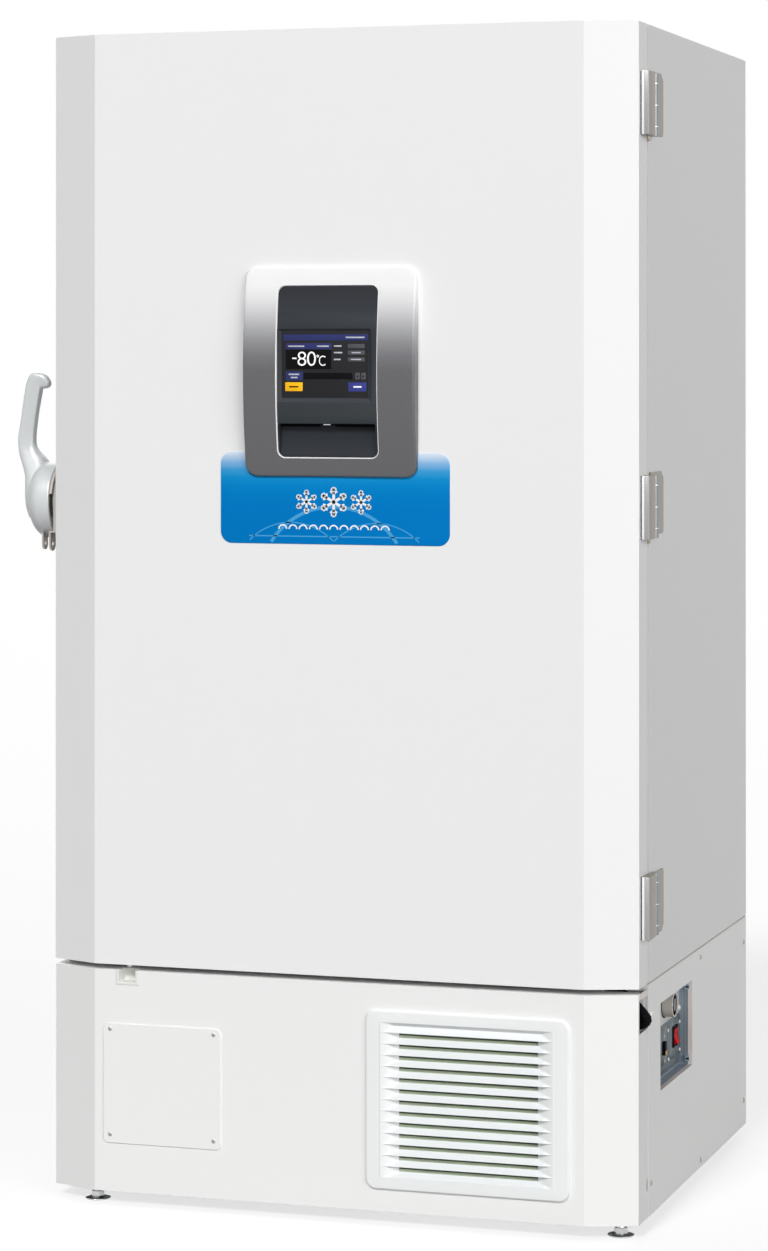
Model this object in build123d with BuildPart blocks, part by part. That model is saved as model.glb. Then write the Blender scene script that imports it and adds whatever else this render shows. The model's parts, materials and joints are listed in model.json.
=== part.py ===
from build123d import *
import os
from math import cos, radians, sin

# An upright ultra low temperature freezer, in millimetres.
# The front faces -Y, the hinges are on the +X side, +Z is up and the floor is Z = 0.

os.makedirs("parts", exist_ok=True)

# Overall sizes
width = 1030.0
depth = 882.0  # flat front of the door to the back sheet
height = 1993.0
lever_reach = 101.0  # latch lever beyond the left side
hinge_reach = 15.0  # hinge covers beyond the right side
arch_rise = 24.0  # crest of the control surround in front of the door
spacer_reach = 24.0  # wall spacers behind the back sheet

# The origin is under the middle of everything, lever and hinges included
mid_x = (lever_reach - hinge_reach) / 2
mid_y = (arch_rise - spacer_reach) / 2
left_x = mid_x - width / 2
right_x = mid_x + width / 2
front_y = mid_y - depth / 2
back_y = mid_y + depth / 2

# Shared fits
seat_gap = 0.3  # between pieces that move past each other
fit_gap = 0.05  # radial, a shaft in its bore
overrun = 5.0  # how far a cutter runs past what it cuts
sheet = 1.2  # painted steel

# Door and cabinet
door_thickness = 92.0
corner_width = 85.0  # front corners cut back, along X
corner_depth = 32.0  # and along Y
gasket_gap = 6.0
cabinet_bottom = 408.0
door_bottom = 408.0
side_wall = 80.0
floor_wall = 105.0
roof_wall = 80.0
back_wall = 80.0
front_flange = 18.0  # of the cabinet shell, round the mouth
breaker_depth = 20.0
liner_thick = 0.8
door_back_y = front_y + door_thickness
cabinet_front_y = door_back_y + gasket_gap
breaker_back_y = cabinet_front_y + breaker_depth
chamber_left = left_x + side_wall
chamber_right = right_x - side_wall
chamber_bottom = cabinet_bottom + floor_wall
chamber_top = height - roof_wall
chamber_back = back_y - back_wall
chamber_middle = (chamber_bottom + chamber_top) / 2

# Machine compartment under the cabinet
base_top = 398.5  # top edge of the front panel
base_bottom = 21.0
side_top = 405.0
base_set_in = 1.0  # front panel behind the door's front and sides
panel_thick = 1.5
panel_front_y = front_y + base_set_in
panel_seam = 1.0  # front panel to side panels
pan_bottom = 80.0
pan_thick = 3.0
pan_top = pan_bottom + pan_thick


def slab(x_low, x_high, y_low, y_high, z_low, z_high, mode=Mode.ADD):
    # a square-edged block between two corners
    with BuildSketch(Plane.XY.offset(z_low)) as outline:
        with Locations(((x_low + x_high) / 2, (y_low + y_high) / 2)):
            Rectangle(x_high - x_low, y_high - y_low)
    extrude(outline.sketch, amount=z_high - z_low, mode=mode)


def plate_xz(x_low, x_high, z_low, z_high, y_front, thickness, radius, mode=Mode.ADD):
    # an upright plate with round corners whose front face is at y_front
    with BuildSketch(Plane.XZ.offset(-y_front)) as outline:
        with Locations(((x_low + x_high) / 2, (z_low + z_high) / 2)):
            RectangleRounded(x_high - x_low, z_high - z_low, radius)
    extrude(outline.sketch, amount=-thickness, mode=mode)


def rod_x(x_low, x_high, y, z, radius, mode=Mode.ADD):
    with BuildSketch(Plane.YZ.offset(x_low)) as outline:
        with Locations((y, z)):
            Circle(radius)
    extrude(outline.sketch, amount=x_high - x_low, mode=mode)


def rod_y(y_low, y_high, x, z, radius, mode=Mode.ADD):
    with BuildSketch(Plane.XZ.offset(-y_high)) as outline:
        with Locations((x, z)):
            Circle(radius)
    extrude(outline.sketch, amount=y_high - y_low, mode=mode)


def rod_z(z_low, z_high, x, y, radius, mode=Mode.ADD):
    with BuildSketch(Plane.XY.offset(z_low)) as outline:
        with Locations((x, y)):
            Circle(radius)
    extrude(outline.sketch, amount=z_high - z_low, mode=mode)


def finish(builder, label):
    builder.part.label = label
    export_step(builder.part, "parts/" + label + ".step")


# Rear ports for probes: one open, one plugged
port_distance = 300.0  # either side of the middle
port_z = 1560.0
port_bore = 8.5
port_tube = 12.0
port_collar = 20.0
port_collar_thick = 3.0
port_left_x = mid_x - port_distance
port_right_x = mid_x + port_distance

# Cabinet shell: a steel box with a flanged mouth
with BuildPart() as cabinet_shell:
    slab(left_x, right_x, cabinet_front_y, back_y, cabinet_bottom, height)
    slab(
        left_x + sheet, right_x - sheet, cabinet_front_y + sheet, back_y - sheet,
        cabinet_bottom + sheet, height - sheet, Mode.SUBTRACT,
    )
    slab(
        left_x + front_flange, right_x - front_flange,
        cabinet_front_y - overrun, cabinet_front_y + sheet + overrun,
        cabinet_bottom + front_flange, height - front_flange, Mode.SUBTRACT,
    )
    for x in (port_left_x, port_right_x):
        rod_y(back_y - sheet - overrun, back_y + overrun, x, port_z, port_tube + fit_gap, Mode.SUBTRACT)
finish(cabinet_shell, "cabinet_shell")

# Inner doors turn on pins in the breaker frame
inner_pin_radius = 3.0
inner_pin_inset = 11.0  # from the chamber's right wall
inner_pin_y = cabinet_front_y + breaker_depth / 2
inner_pin_x = chamber_right - inner_pin_inset
inner_pin_length = 12.0
inner_door_gap = 3.0  # to the mouth all round
inner_split = 8.0  # between the two inner doors
inner_bracket_thick = 5.0
inner_bracket_reach = 9.0  # past the pin
middle_pin_length = 3.5

# Breaker frame: moulded, closes the wall between shell and liner
with BuildPart() as breaker_frame:
    slab(
        left_x + front_flange, right_x - front_flange, cabinet_front_y, breaker_back_y,
        cabinet_bottom + front_flange, height - front_flange,
    )
    slab(
        chamber_left, chamber_right, cabinet_front_y - overrun, breaker_back_y + overrun,
        chamber_bottom, chamber_top, Mode.SUBTRACT,
    )
    slab(
        inner_pin_x - inner_bracket_reach, chamber_right, cabinet_front_y, breaker_back_y,
        chamber_middle - inner_bracket_thick / 2, chamber_middle + inner_bracket_thick / 2,
    )
    rod_z(
        chamber_bottom - inner_pin_length, chamber_top + inner_pin_length,
        inner_pin_x, inner_pin_y, inner_pin_radius + fit_gap, Mode.SUBTRACT,
    )
finish(breaker_frame, "breaker_frame")

# Inner liner: thin sheet, open at the front
with BuildPart() as inner_liner:
    slab(
        chamber_left - liner_thick, chamber_right + liner_thick,
        breaker_back_y, chamber_back + liner_thick,
        chamber_bottom - liner_thick, chamber_top + liner_thick,
    )
    slab(
        chamber_left, chamber_right, breaker_back_y - overrun, chamber_back,
        chamber_bottom, chamber_top, Mode.SUBTRACT,
    )
    for x in (port_left_x, port_right_x):
        rod_y(
            chamber_back - overrun, chamber_back + liner_thick + overrun,
            x, port_z, port_tube + fit_gap, Mode.SUBTRACT,
        )
finish(inner_liner, "inner_liner")

# Insulation panels between shell and liner: floor, roof, sides, and a back laid round the two ports
wall_front = cabinet_front_y + sheet
wall_back = back_y - sheet
lined_left = chamber_left - liner_thick
lined_right = chamber_right + liner_thick
lined_back = chamber_back + liner_thick
lined_low = chamber_bottom - liner_thick
lined_high = chamber_top + liner_thick
port_room = port_tube + fit_gap  # half of the square left round a sleeve
back_left = lined_left + fit_gap
back_right = lined_right - fit_gap
strip_low = port_z - port_room + fit_gap
strip_high = port_z + port_room - fit_gap
with BuildPart() as insulation_walls:
    for z_low, z_high in ((cabinet_bottom + sheet, lined_low), (lined_high, height - sheet)):
        slab(left_x + sheet, right_x - sheet, wall_front, wall_back, z_low, z_high)
    for x_low, x_high in ((left_x + sheet, lined_left), (lined_right, right_x - sheet)):
        slab(x_low, x_high, wall_front, wall_back, lined_low + fit_gap, lined_high - fit_gap)
    for z_low, z_high in (
        (lined_low + fit_gap, port_z - port_room), (port_z + port_room, lined_high - fit_gap),
    ):
        slab(back_left, back_right, lined_back, wall_back, z_low, z_high)
    for x_low, x_high in (
        (back_left, port_left_x - port_room),
        (port_left_x + port_room, port_right_x - port_room),
        (port_right_x + port_room, back_right),
    ):
        slab(x_low, x_high, lined_back, wall_back, strip_low, strip_high)
    slab(
        left_x + front_flange, right_x - front_flange, cabinet_front_y - overrun, breaker_back_y,
        cabinet_bottom + front_flange, height - front_flange, Mode.SUBTRACT,
    )
finish(insulation_walls, "insulation_walls")

# Port sleeves and the plug in the right one
plug_length = 34.0
plug_head = 14.0
plug_head_thick = 8.0
with BuildPart() as port_sleeves:
    for x in (port_left_x, port_right_x):
        rod_y(chamber_back, back_y + port_collar_thick, x, port_z, port_tube)
        rod_y(back_y, back_y + port_collar_thick, x, port_z, port_collar)
        rod_y(
            chamber_back - overrun, back_y + port_collar_thick + overrun,
            x, port_z, port_bore, Mode.SUBTRACT,
        )
finish(port_sleeves, "port_sleeves")

with BuildPart() as port_plug:
    plug_seat_y = back_y + port_collar_thick
    rod_y(plug_seat_y - plug_length, plug_seat_y, port_right_x, port_z, port_bore - fit_gap)
    rod_y(plug_seat_y, plug_seat_y + plug_head_thick, port_right_x, port_z, plug_head)
    chamfer(port_plug.edges().group_by(Axis.Y)[-1], length=plug_head_thick / 4)
finish(port_plug, "port_plug")

# Shelves on slotted rails
shelf_count = 3
shelf_thick = 1.5
shelf_fold = 18.0
shelf_side_gap = 2.0
shelf_front_gap = 8.0  # behind the inner doors
shelf_back_gap = 11.0
rail_thick = 4.0
rail_width = 20.0
rail_margin = 40.0  # from the chamber's floor and roof
rail_front_inset = 60.0
rail_back_inset = 70.0
clip_reach = 12.0
clip_thick = 6.0
inner_door_thick = 37.0
inner_pin_cover = 1.0
inner_front_y = inner_pin_y - inner_pin_radius - inner_pin_cover
inner_back_y = inner_front_y + inner_door_thick
shelf_front_y = inner_back_y + shelf_front_gap
shelf_back_y = chamber_back - shelf_back_gap
shelf_left = chamber_left + rail_thick + shelf_side_gap
shelf_right = chamber_right - rail_thick - shelf_side_gap
chamber_height = chamber_top - chamber_bottom
shelf_tops = [chamber_bottom + chamber_height * (i + 1) / (shelf_count + 1) for i in range(shelf_count)]
rail_ys = (shelf_front_y + rail_front_inset, shelf_back_y - rail_back_inset)

for shelf_name, top in zip(("shelf_lower", "shelf_middle", "shelf_upper"), shelf_tops):
    with BuildPart() as shelf:
        slab(shelf_left, shelf_right, shelf_front_y, shelf_back_y, top - shelf_fold, top)
        slab(
            shelf_left + shelf_thick, shelf_right - shelf_thick,
            shelf_front_y + shelf_thick, shelf_back_y - shelf_thick,
            top - shelf_fold - overrun, top - shelf_thick, Mode.SUBTRACT,
        )
    finish(shelf, shelf_name)

with BuildPart() as shelf_rails:
    for wall_x, inward in ((chamber_left, 1), (chamber_right, -1)):
        for y in rail_ys:
            rail_xs = sorted((wall_x, wall_x + inward * rail_thick))
            slab(
                rail_xs[0], rail_xs[1], y - rail_width / 2, y + rail_width / 2,
                chamber_bottom + rail_margin, chamber_top - rail_margin,
            )
            for top in shelf_tops:
                clip_xs = sorted((wall_x, wall_x + inward * (rail_thick + clip_reach)))
                slab(
                    clip_xs[0], clip_xs[1], y - rail_width / 2, y + rail_width / 2,
                    top - shelf_fold - clip_thick, top - shelf_fold,
                )
finish(shelf_rails, "shelf_rails")

# Inner doors, each a moulded panel with a rim and a finger pull
inner_rim = 30.0
inner_rim_depth = 5.0
pull_width = 26.0
pull_height = 110.0
pull_depth = 16.0
pull_inset = 42.0  # from the free edge to the pull's middle
inner_left_x = chamber_left + inner_door_gap
inner_right_x = chamber_right - inner_door_gap
inner_doors = (
    ("inner_door_lower", chamber_bottom + inner_door_gap, chamber_middle - inner_split / 2, -1),
    ("inner_door_upper", chamber_middle + inner_split / 2, chamber_top - inner_door_gap, 1),
)
for inner_name, low, high, outward in inner_doors:
    with BuildPart() as inner_door:
        slab(inner_left_x, inner_right_x, inner_front_y, inner_back_y, low, high)
        slab(
            inner_left_x + inner_rim, inner_right_x - inner_rim,
            inner_front_y - overrun, inner_front_y + inner_rim_depth,
            low + inner_rim, high - inner_rim, Mode.SUBTRACT,
        )
        slab(
            inner_left_x + pull_inset - pull_width / 2, inner_left_x + pull_inset + pull_width / 2,
            inner_front_y - overrun, inner_front_y + pull_depth,
            (low + high - pull_height) / 2, (low + high + pull_height) / 2, Mode.SUBTRACT,
        )
        outer_reach = inner_door_gap + inner_pin_length - seat_gap
        if outward > 0:
            rod_z(low - middle_pin_length, low, inner_pin_x, inner_pin_y, inner_pin_radius)
            rod_z(high, high + outer_reach, inner_pin_x, inner_pin_y, inner_pin_radius)
        else:
            rod_z(low - outer_reach, low, inner_pin_x, inner_pin_y, inner_pin_radius)
            rod_z(high, high + middle_pin_length, inner_pin_x, inner_pin_y, inner_pin_radius)
    finish(inner_door, inner_name)

# Casters: swivel forks under the pan, the front pair lifted clear by the levelling feet
caster_inset_x = 80.0
caster_front_inset = 60.0  # behind the cabinet's front
caster_back_inset = 75.0
caster_trail = 16.0
wheel_radius = 29.0
wheel_width = 20.0
wheel_side_gap = 1.0
axle_radius = 4.0
fork_thick = 3.5
fork_eye = 9.0
crown_radius = 21.0
crown_thick = 4.0
crown_gap = 0.5  # under the pad
stem_radius = 8.0
stem_rise = 9.0
pad_half = 32.0
crown_over_wheel = 11.0
front_wheel_lift = 1.5
casters = (
    ("front_left", left_x + caster_inset_x, cabinet_front_y + caster_front_inset, front_wheel_lift),
    ("front_right", right_x - caster_inset_x, cabinet_front_y + caster_front_inset, front_wheel_lift),
    ("rear_left", left_x + caster_inset_x, back_y - caster_back_inset, 0),
    ("rear_right", right_x - caster_inset_x, back_y - caster_back_inset, 0),
)
pad_bottom = 2 * wheel_radius + crown_over_wheel + crown_thick + crown_gap

# Levelling feet, at the front corners
left_foot_inset = 78.0
left_foot_set_back = 34.0
right_foot_inset = 35.0
right_foot_set_back = 49.0
foot_stud = 8.0
foot_boss = 14.0
foot_pad_radius = 22.0
foot_pad_thick = 5.0
foot_hex_across = 20.0
foot_hex_height = 9.0
foot_stud_top = 66.0
boss_bottom = 24.0
bracket_half = 17.0
feet = (
    ("left", left_x + left_foot_inset, front_y + left_foot_set_back),
    ("right", right_x - right_foot_inset, front_y + right_foot_set_back),
)

# Base weldment: pan, corner posts, caster pads and the bosses of the feet
post_width = 40.0
post_thick = 3.0
pan_side_gap = 1.0
pan_left = left_x + sheet + pan_side_gap
pan_right = right_x - sheet - pan_side_gap
pan_back = back_y - sheet - pan_side_gap
with BuildPart() as machine_base:
    slab(pan_left, pan_right, cabinet_front_y, pan_back, pan_bottom, pan_top)
    for x, inward_x in ((pan_left, 1), (pan_right, -1)):
        for y, inward_y in ((cabinet_front_y, 1), (pan_back, -1)):
            xs = sorted((x, x + inward_x * post_width))
            ys = sorted((y, y + inward_y * post_width))
            web_xs = sorted((x, x + inward_x * post_thick))
            web_ys = sorted((y, y + inward_y * post_thick))
            slab(xs[0], xs[1], web_ys[0], web_ys[1], pan_top, cabinet_bottom)
            slab(web_xs[0], web_xs[1], ys[0], ys[1], pan_top, cabinet_bottom)
    for caster_name, x, y, lift in casters:
        slab(x - pad_half, x + pad_half, y - pad_half, y + pad_half, pad_bottom + lift, pan_bottom)
        rod_z(pad_bottom - overrun, pan_top + overrun, x, y, stem_radius + fit_gap, Mode.SUBTRACT)
    for foot_name, x, y in feet:
        slab(
            x - bracket_half, x + bracket_half, y - foot_boss, cabinet_front_y + pan_thick,
            pan_bottom, pan_top,
        )
        rod_z(boss_bottom, pan_bottom, x, y, foot_boss)
        rod_z(boss_bottom - overrun, pan_top + overrun, x, y, foot_stud + fit_gap, Mode.SUBTRACT)
finish(machine_base, "machine_base")

for foot_name, x, y in feet:
    with BuildPart() as levelling_foot:
        with BuildSketch(Plane.XZ.offset(-y)) as foot_profile:
            with BuildLine():
                Polyline(
                    (x, 0), (x + foot_pad_radius - foot_pad_thick / 5, 0),
                    (x + foot_pad_radius, foot_pad_thick / 5),
                    (x + foot_pad_radius, foot_pad_thick / 2),
                    (x + foot_hex_across * 0.62, foot_pad_thick),
                    (x, foot_pad_thick), (x, 0),
                )
            make_face()
        revolve(foot_profile.sketch, axis=Axis((x, y, 0), (0, 0, 1)))
        with BuildSketch(Plane.XY.offset(foot_pad_thick)) as hexagon:
            with Locations((x, y)):
                RegularPolygon(foot_hex_across / 2, 6, major_radius=False)
        extrude(hexagon.sketch, amount=foot_hex_height)
        rod_z(foot_pad_thick, foot_stud_top, x, y, foot_stud)
    finish(levelling_foot, "levelling_foot_" + foot_name)

for caster_name, x, y, lift in casters:
    axle_z = wheel_radius + lift
    axle_y = y + caster_trail
    crown_top = pad_bottom + lift - crown_gap
    crown_bottom = crown_top - crown_thick
    cheek_in = wheel_width / 2 + wheel_side_gap
    cheek_out = cheek_in + fork_thick
    with BuildPart() as caster_fork:
        rod_z(crown_bottom, crown_top, x, y, crown_radius)
        rod_z(crown_top, crown_top + crown_gap + stem_rise, x, y, stem_radius)
        for cheek_low, cheek_high in ((x - cheek_out, x - cheek_in), (x + cheek_in, x + cheek_out)):
            with BuildSketch(Plane.YZ.offset(cheek_low)) as cheek:
                with BuildLine():
                    Polyline(
                        (y - crown_radius / 2, crown_bottom), (y + crown_radius * 0.8, crown_bottom),
                        (axle_y + fork_eye, axle_z), (axle_y + fork_eye / 2, axle_z - fork_eye),
                        (axle_y - fork_eye / 2, axle_z - fork_eye), (axle_y - fork_eye, axle_z),
                        (y - crown_radius / 2, crown_bottom),
                    )
                make_face()
            extrude(cheek.sketch, amount=cheek_high - cheek_low)
        rod_x(x - cheek_out, x + cheek_out, axle_y, axle_z, axle_radius)
    finish(caster_fork, "caster_fork_" + caster_name)
    with BuildPart() as caster_wheel:
        rod_x(x - wheel_width / 2, x + wheel_width / 2, axle_y, axle_z, wheel_radius)
        chamfer(caster_wheel.edges().filter_by(GeomType.CIRCLE), length=wheel_width / 8)
        rod_x(
            x - wheel_width / 2 - overrun, x + wheel_width / 2 + overrun,
            axle_y, axle_z, axle_radius + fit_gap, Mode.SUBTRACT,
        )
    finish(caster_wheel, "caster_wheel_" + caster_name)

# Side panels of the machine compartment, with folded front and rear edges
panel_fold = 12.0
recess_front = 185.0  # from the door's front to the service recess
recess_length = 244.0
recess_low = 213.0
recess_high = 359.5
recess_depth = 24.0
recess_front_y = front_y + recess_front
recess_back_y = recess_front_y + recess_length
for side_name, outer_x, inward in (("side_panel_left", left_x, 1), ("side_panel_right", right_x, -1)):
    with BuildPart() as side_panel:
        skin_xs = sorted((outer_x, outer_x + inward * sheet))
        fold_xs = sorted((outer_x, outer_x + inward * panel_fold))
        slab(skin_xs[0], skin_xs[1], cabinet_front_y, back_y, base_bottom, side_top)
        slab(
            fold_xs[0], fold_xs[1], cabinet_front_y - sheet, cabinet_front_y, base_bottom, side_top,
        )
        if inward < 0:
            slab(
                skin_xs[0] - overrun, skin_xs[1] + overrun, recess_front_y, recess_back_y,
                recess_low, recess_high, Mode.SUBTRACT,
            )
    finish(side_panel, side_name)

# Rear panel: louvre slots in two fields, and the cable gland's hole
rear_slot_height = 6.0
rear_slot_length = 300.0
rear_slot_pitch = 18.0
rear_slot_count = 11
rear_slots_low = 130.0
rear_field_distance = 215.0  # either side of the middle
gland_distance = 70.0
gland_x = left_x + gland_distance
gland_z = 150.0
gland_hole = 11.0
gland_hex = 30.0
gland_hex_thick = 6.0
gland_dome = 12.0
gland_dome_length = 14.0
gland_bore = 5.0
with BuildPart() as rear_panel:
    slab(
        left_x + sheet, right_x - sheet, back_y - sheet, back_y, base_bottom, side_top,
    )
    for field_x in (mid_x - rear_field_distance, mid_x + rear_field_distance):
        for i in range(rear_slot_count):
            slot_z = rear_slots_low + i * rear_slot_pitch
            slab(
                field_x - rear_slot_length / 2, field_x + rear_slot_length / 2,
                back_y - sheet - overrun, back_y + overrun,
                slot_z, slot_z + rear_slot_height, Mode.SUBTRACT,
            )
    rod_y(back_y - sheet - overrun, back_y + overrun, gland_x, gland_z, gland_hole, Mode.SUBTRACT)
finish(rear_panel, "rear_panel")

with BuildPart() as power_inlet:
    rod_y(back_y - sheet - gland_hex_thick, back_y, gland_x, gland_z, gland_hole - fit_gap)
    with BuildSketch(Plane.XZ.offset(-back_y)) as gland_nut:
        with Locations((gland_x, gland_z)):
            RegularPolygon(gland_hex / 2, 6, major_radius=False)
    extrude(gland_nut.sketch, amount=-gland_hex_thick)
    rod_y(
        back_y + gland_hex_thick, back_y + gland_hex_thick + gland_dome_length,
        gland_x, gland_z, gland_dome,
    )
    chamfer(power_inlet.edges().group_by(Axis.Y)[-1], length=gland_dome / 3)
    rod_y(
        back_y - sheet - gland_hex_thick - overrun,
        back_y + gland_hex_thick + gland_dome_length + overrun,
        gland_x, gland_z, gland_bore, Mode.SUBTRACT,
    )
finish(power_inlet, "power_inlet")

# Wall spacers that double as tie-down brackets
spacer_width = 60.0
spacer_height = 40.0
spacer_thick = 3.0
spacer_flange = 20.0
spacer_hole = 6.0
spacer_distance = 360.0
spacer_drop = 113.0  # below the top
spacer_rise = 112.0  # above the cabinet's floor
with BuildPart() as rear_spacers:
    for x in (mid_x - spacer_distance, mid_x + spacer_distance):
        for z in (cabinet_bottom + spacer_rise, height - spacer_drop):
            with BuildSketch(Plane.XY.offset(z - spacer_height / 2)) as hat:
                with BuildLine():
                    Polyline(
                        (x - spacer_width / 2 - spacer_flange, back_y),
                        (x - spacer_width / 2 + spacer_thick, back_y),
                        (x - spacer_width / 2 + spacer_thick, back_y + spacer_reach - spacer_thick),
                        (x + spacer_width / 2 - spacer_thick, back_y + spacer_reach - spacer_thick),
                        (x + spacer_width / 2 - spacer_thick, back_y),
                        (x + spacer_width / 2 + spacer_flange, back_y),
                        (x + spacer_width / 2 + spacer_flange, back_y + spacer_thick),
                        (x + spacer_width / 2, back_y + spacer_thick),
                        (x + spacer_width / 2, back_y + spacer_reach),
                        (x - spacer_width / 2, back_y + spacer_reach),
                        (x - spacer_width / 2, back_y + spacer_thick),
                        (x - spacer_width / 2 - spacer_flange, back_y + spacer_thick),
                        (x - spacer_width / 2 - spacer_flange, back_y),
                    )
                make_face()
            extrude(hat.sketch, amount=spacer_height)
            rod_y(back_y + spacer_thick * 2, back_y + spacer_reach + overrun, x, z, spacer_hole, Mode.SUBTRACT)
finish(rear_spacers, "rear_spacers")

# Intake grille and the sizes of its opening in the front panel
grille_right_distance = 109.0
grille_width = 350.0
grille_low = 59.0
grille_height = 298.0
grille_corner = 18.0
grille_face_thick = 5.0
grille_depth = 14.0  # behind the panel's face
grille_rim = 14.0
field_side_left = 28.0
field_side_right = 37.0
field_low = 16.0
field_high = 21.0
louvre_count = 13
louvre_pitch = 18.5
louvre_depth = 11.0
slot_height = 4.5
slot_inset_left = 29.5
slot_inset_right = 21.0
slot_drop = 3.6  # below the ridge
ridge_set_back = 1.5
ridge_land = 0.8  # flat left along each ridge
tongue_width = 30.0
tongue_thick = 3.0
tongue_length = 10.0
grille_right = right_x - grille_right_distance
grille_left = grille_right - grille_width
grille_high = grille_low + grille_height
grille_face_y = panel_front_y - grille_face_thick
field_left_x = grille_left + field_side_left
field_right_x = grille_right - field_side_right
field_low_z = grille_low + field_low
field_high_z = grille_high - field_high
hole_left = grille_left + grille_rim
hole_right = grille_right - grille_rim
hole_low = grille_low + grille_rim
hole_high = grille_high - grille_rim

# Keeper cup in the front panel's top edge, below the door's lock pin
cup_left_distance = 124.0
cup_left = left_x + cup_left_distance
cup_width = 40.0
cup_height = 25.0
cup_depth = 30.0
cup_wall = 5.0
cup_lip = 1.0
cup_right = cup_left + cup_width

# Notch in the right return of the front panel, where the door's conduit comes out
notch_front = 38.0
notch_length = 58.0
notch_low = 333.0
notch_high = 390.0
conduit_radius = 11.0
conduit_sides = 16
conduit_distance = 70.0
conduit_y = front_y + conduit_distance
conduit_bend = 33.0
conduit_z = 362.0
conduit_out = 6.0  # the loop's middle inside the cabinet's side
conduit_tail = 26.0
conduit_center_x = right_x - conduit_out - conduit_bend
conduit_hole_gap = 2.0
eye_radius = 11.0
eye_z = 75.0
panel_return = 15.0
panel_pad_low = 110.0  # pads that bear on the posts
panel_pad_high = 320.0
panel_pad_height = 50.0
conduit_saddle_thick = 3.0
conduit_saddle_top = conduit_z - conduit_bend - conduit_radius
panel_top_rim = 25.0
panel_back_y = cabinet_front_y - sheet - panel_seam
panel_side_y = front_y + corner_depth
panel_left = left_x + base_set_in
panel_right = right_x - base_set_in
panel_outline = (
    (panel_left, panel_back_y), (panel_left, panel_side_y),
    (left_x + corner_width, panel_front_y), (right_x - corner_width, panel_front_y),
    (panel_right, panel_side_y), (panel_right, panel_back_y), (panel_left, panel_back_y),
)
with BuildPart() as front_panel:
    with BuildSketch(Plane.XY.offset(base_bottom)):
        with BuildLine():
            Polyline(*panel_outline)
        make_face()
    extrude(amount=base_top - base_bottom)
    with BuildSketch(Plane.XY.offset(base_bottom - overrun)):
        with BuildLine():
            Polyline(*panel_outline)
        make_face()
        offset(amount=-panel_thick, kind=Kind.INTERSECTION)
    extrude(amount=base_top - panel_thick - base_bottom + overrun, mode=Mode.SUBTRACT)
    slab(
        panel_left + panel_return, panel_right - panel_return,
        panel_back_y - panel_thick - overrun, panel_back_y + overrun,
        base_bottom - overrun, base_top + overrun, Mode.SUBTRACT,
    )
    slab(
        panel_left + panel_top_rim, panel_right - panel_top_rim,
        panel_side_y + panel_top_rim, panel_back_y + overrun,
        base_top - panel_thick - overrun, base_top + overrun, Mode.SUBTRACT,
    )
    slab(
        hole_left, hole_right, panel_front_y - overrun, panel_front_y + panel_thick + overrun,
        hole_low, hole_high, Mode.SUBTRACT,
    )
    slab(
        cup_left, cup_right, panel_front_y - overrun, panel_front_y + cup_depth,
        base_top - cup_height, base_top + overrun, Mode.SUBTRACT,
    )
    slab(
        panel_right - panel_thick - overrun, panel_right + overrun,
        front_y + notch_front, front_y + notch_front + notch_length,
        notch_low, notch_high, Mode.SUBTRACT,
    )
    rod_x(
        panel_right - panel_thick - overrun, panel_right + overrun,
        panel_back_y, eye_z, eye_radius, Mode.SUBTRACT,
    )
    slab(
        panel_right - panel_top_rim - overrun, panel_right - panel_thick,
        conduit_y - conduit_radius - conduit_hole_gap, conduit_y + conduit_radius + conduit_hole_gap,
        base_top - panel_thick - overrun, base_top + overrun, Mode.SUBTRACT,
    )
    slab(
        conduit_center_x - conduit_tail, panel_right - panel_thick,
        conduit_y - conduit_radius, conduit_y + conduit_radius,
        conduit_saddle_top - conduit_saddle_thick, conduit_saddle_top,
    )
    for pad_low, pad_high in (
        (left_x + panel_fold + seat_gap, panel_left + panel_return),
        (panel_right - panel_return, right_x - panel_fold - seat_gap),
    ):
        for pad_z in (panel_pad_low, panel_pad_high):
            slab(
                pad_low, pad_high, panel_back_y, cabinet_front_y,
                pad_z, pad_z + panel_pad_height,
            )
finish(front_panel, "front_panel")

with BuildPart() as keeper_cup:
    slab(
        cup_left, cup_right, panel_front_y - cup_lip, panel_front_y + cup_depth,
        base_top - cup_height, base_top,
    )
    slab(
        cup_left + cup_wall, cup_right - cup_wall,
        panel_front_y - cup_lip - overrun, panel_front_y + cup_depth - cup_wall,
        base_top - cup_height + cup_wall, base_top + overrun, Mode.SUBTRACT,
    )
    fillet(keeper_cup.edges().filter_by(Axis.Y).group_by(Axis.Z)[0], radius=cup_wall / 2)
finish(keeper_cup, "keeper_cup")

# The louvred grille: a raised frame whose field is cut into pointed troughs, each with a slot
floor_left = field_left_x + ridge_set_back
floor_right = field_right_x - ridge_set_back
floor_low = field_low_z + ridge_set_back
floor_high = field_high_z - ridge_set_back
ridges = [floor_low + ridge_land + i * louvre_pitch for i in range(louvre_count + 1)]
slot_left = field_left_x + slot_inset_left
slot_right = field_right_x - slot_inset_right


def trough(low, high, floor_z_low, floor_z_high, reach):
    # a hollow whose mouth lies behind the rim and whose four sides taper to a strip at its back
    with BuildSketch(Plane.XZ.offset(-(grille_face_y + ridge_set_back))) as mouth:
        with Locations(((floor_left + floor_right) / 2, (low + high) / 2)):
            Rectangle(floor_right - floor_left - 2 * ridge_land, high - low)
    with BuildSketch(Plane.XZ.offset(-(grille_face_y + reach))) as throat:
        with Locations(((slot_left + slot_right) / 2, (floor_z_low + floor_z_high) / 2)):
            Rectangle(slot_right - slot_left, floor_z_high - floor_z_low)
    loft(sections=[mouth.sketch, throat.sketch], ruled=True, mode=Mode.SUBTRACT)


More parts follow.
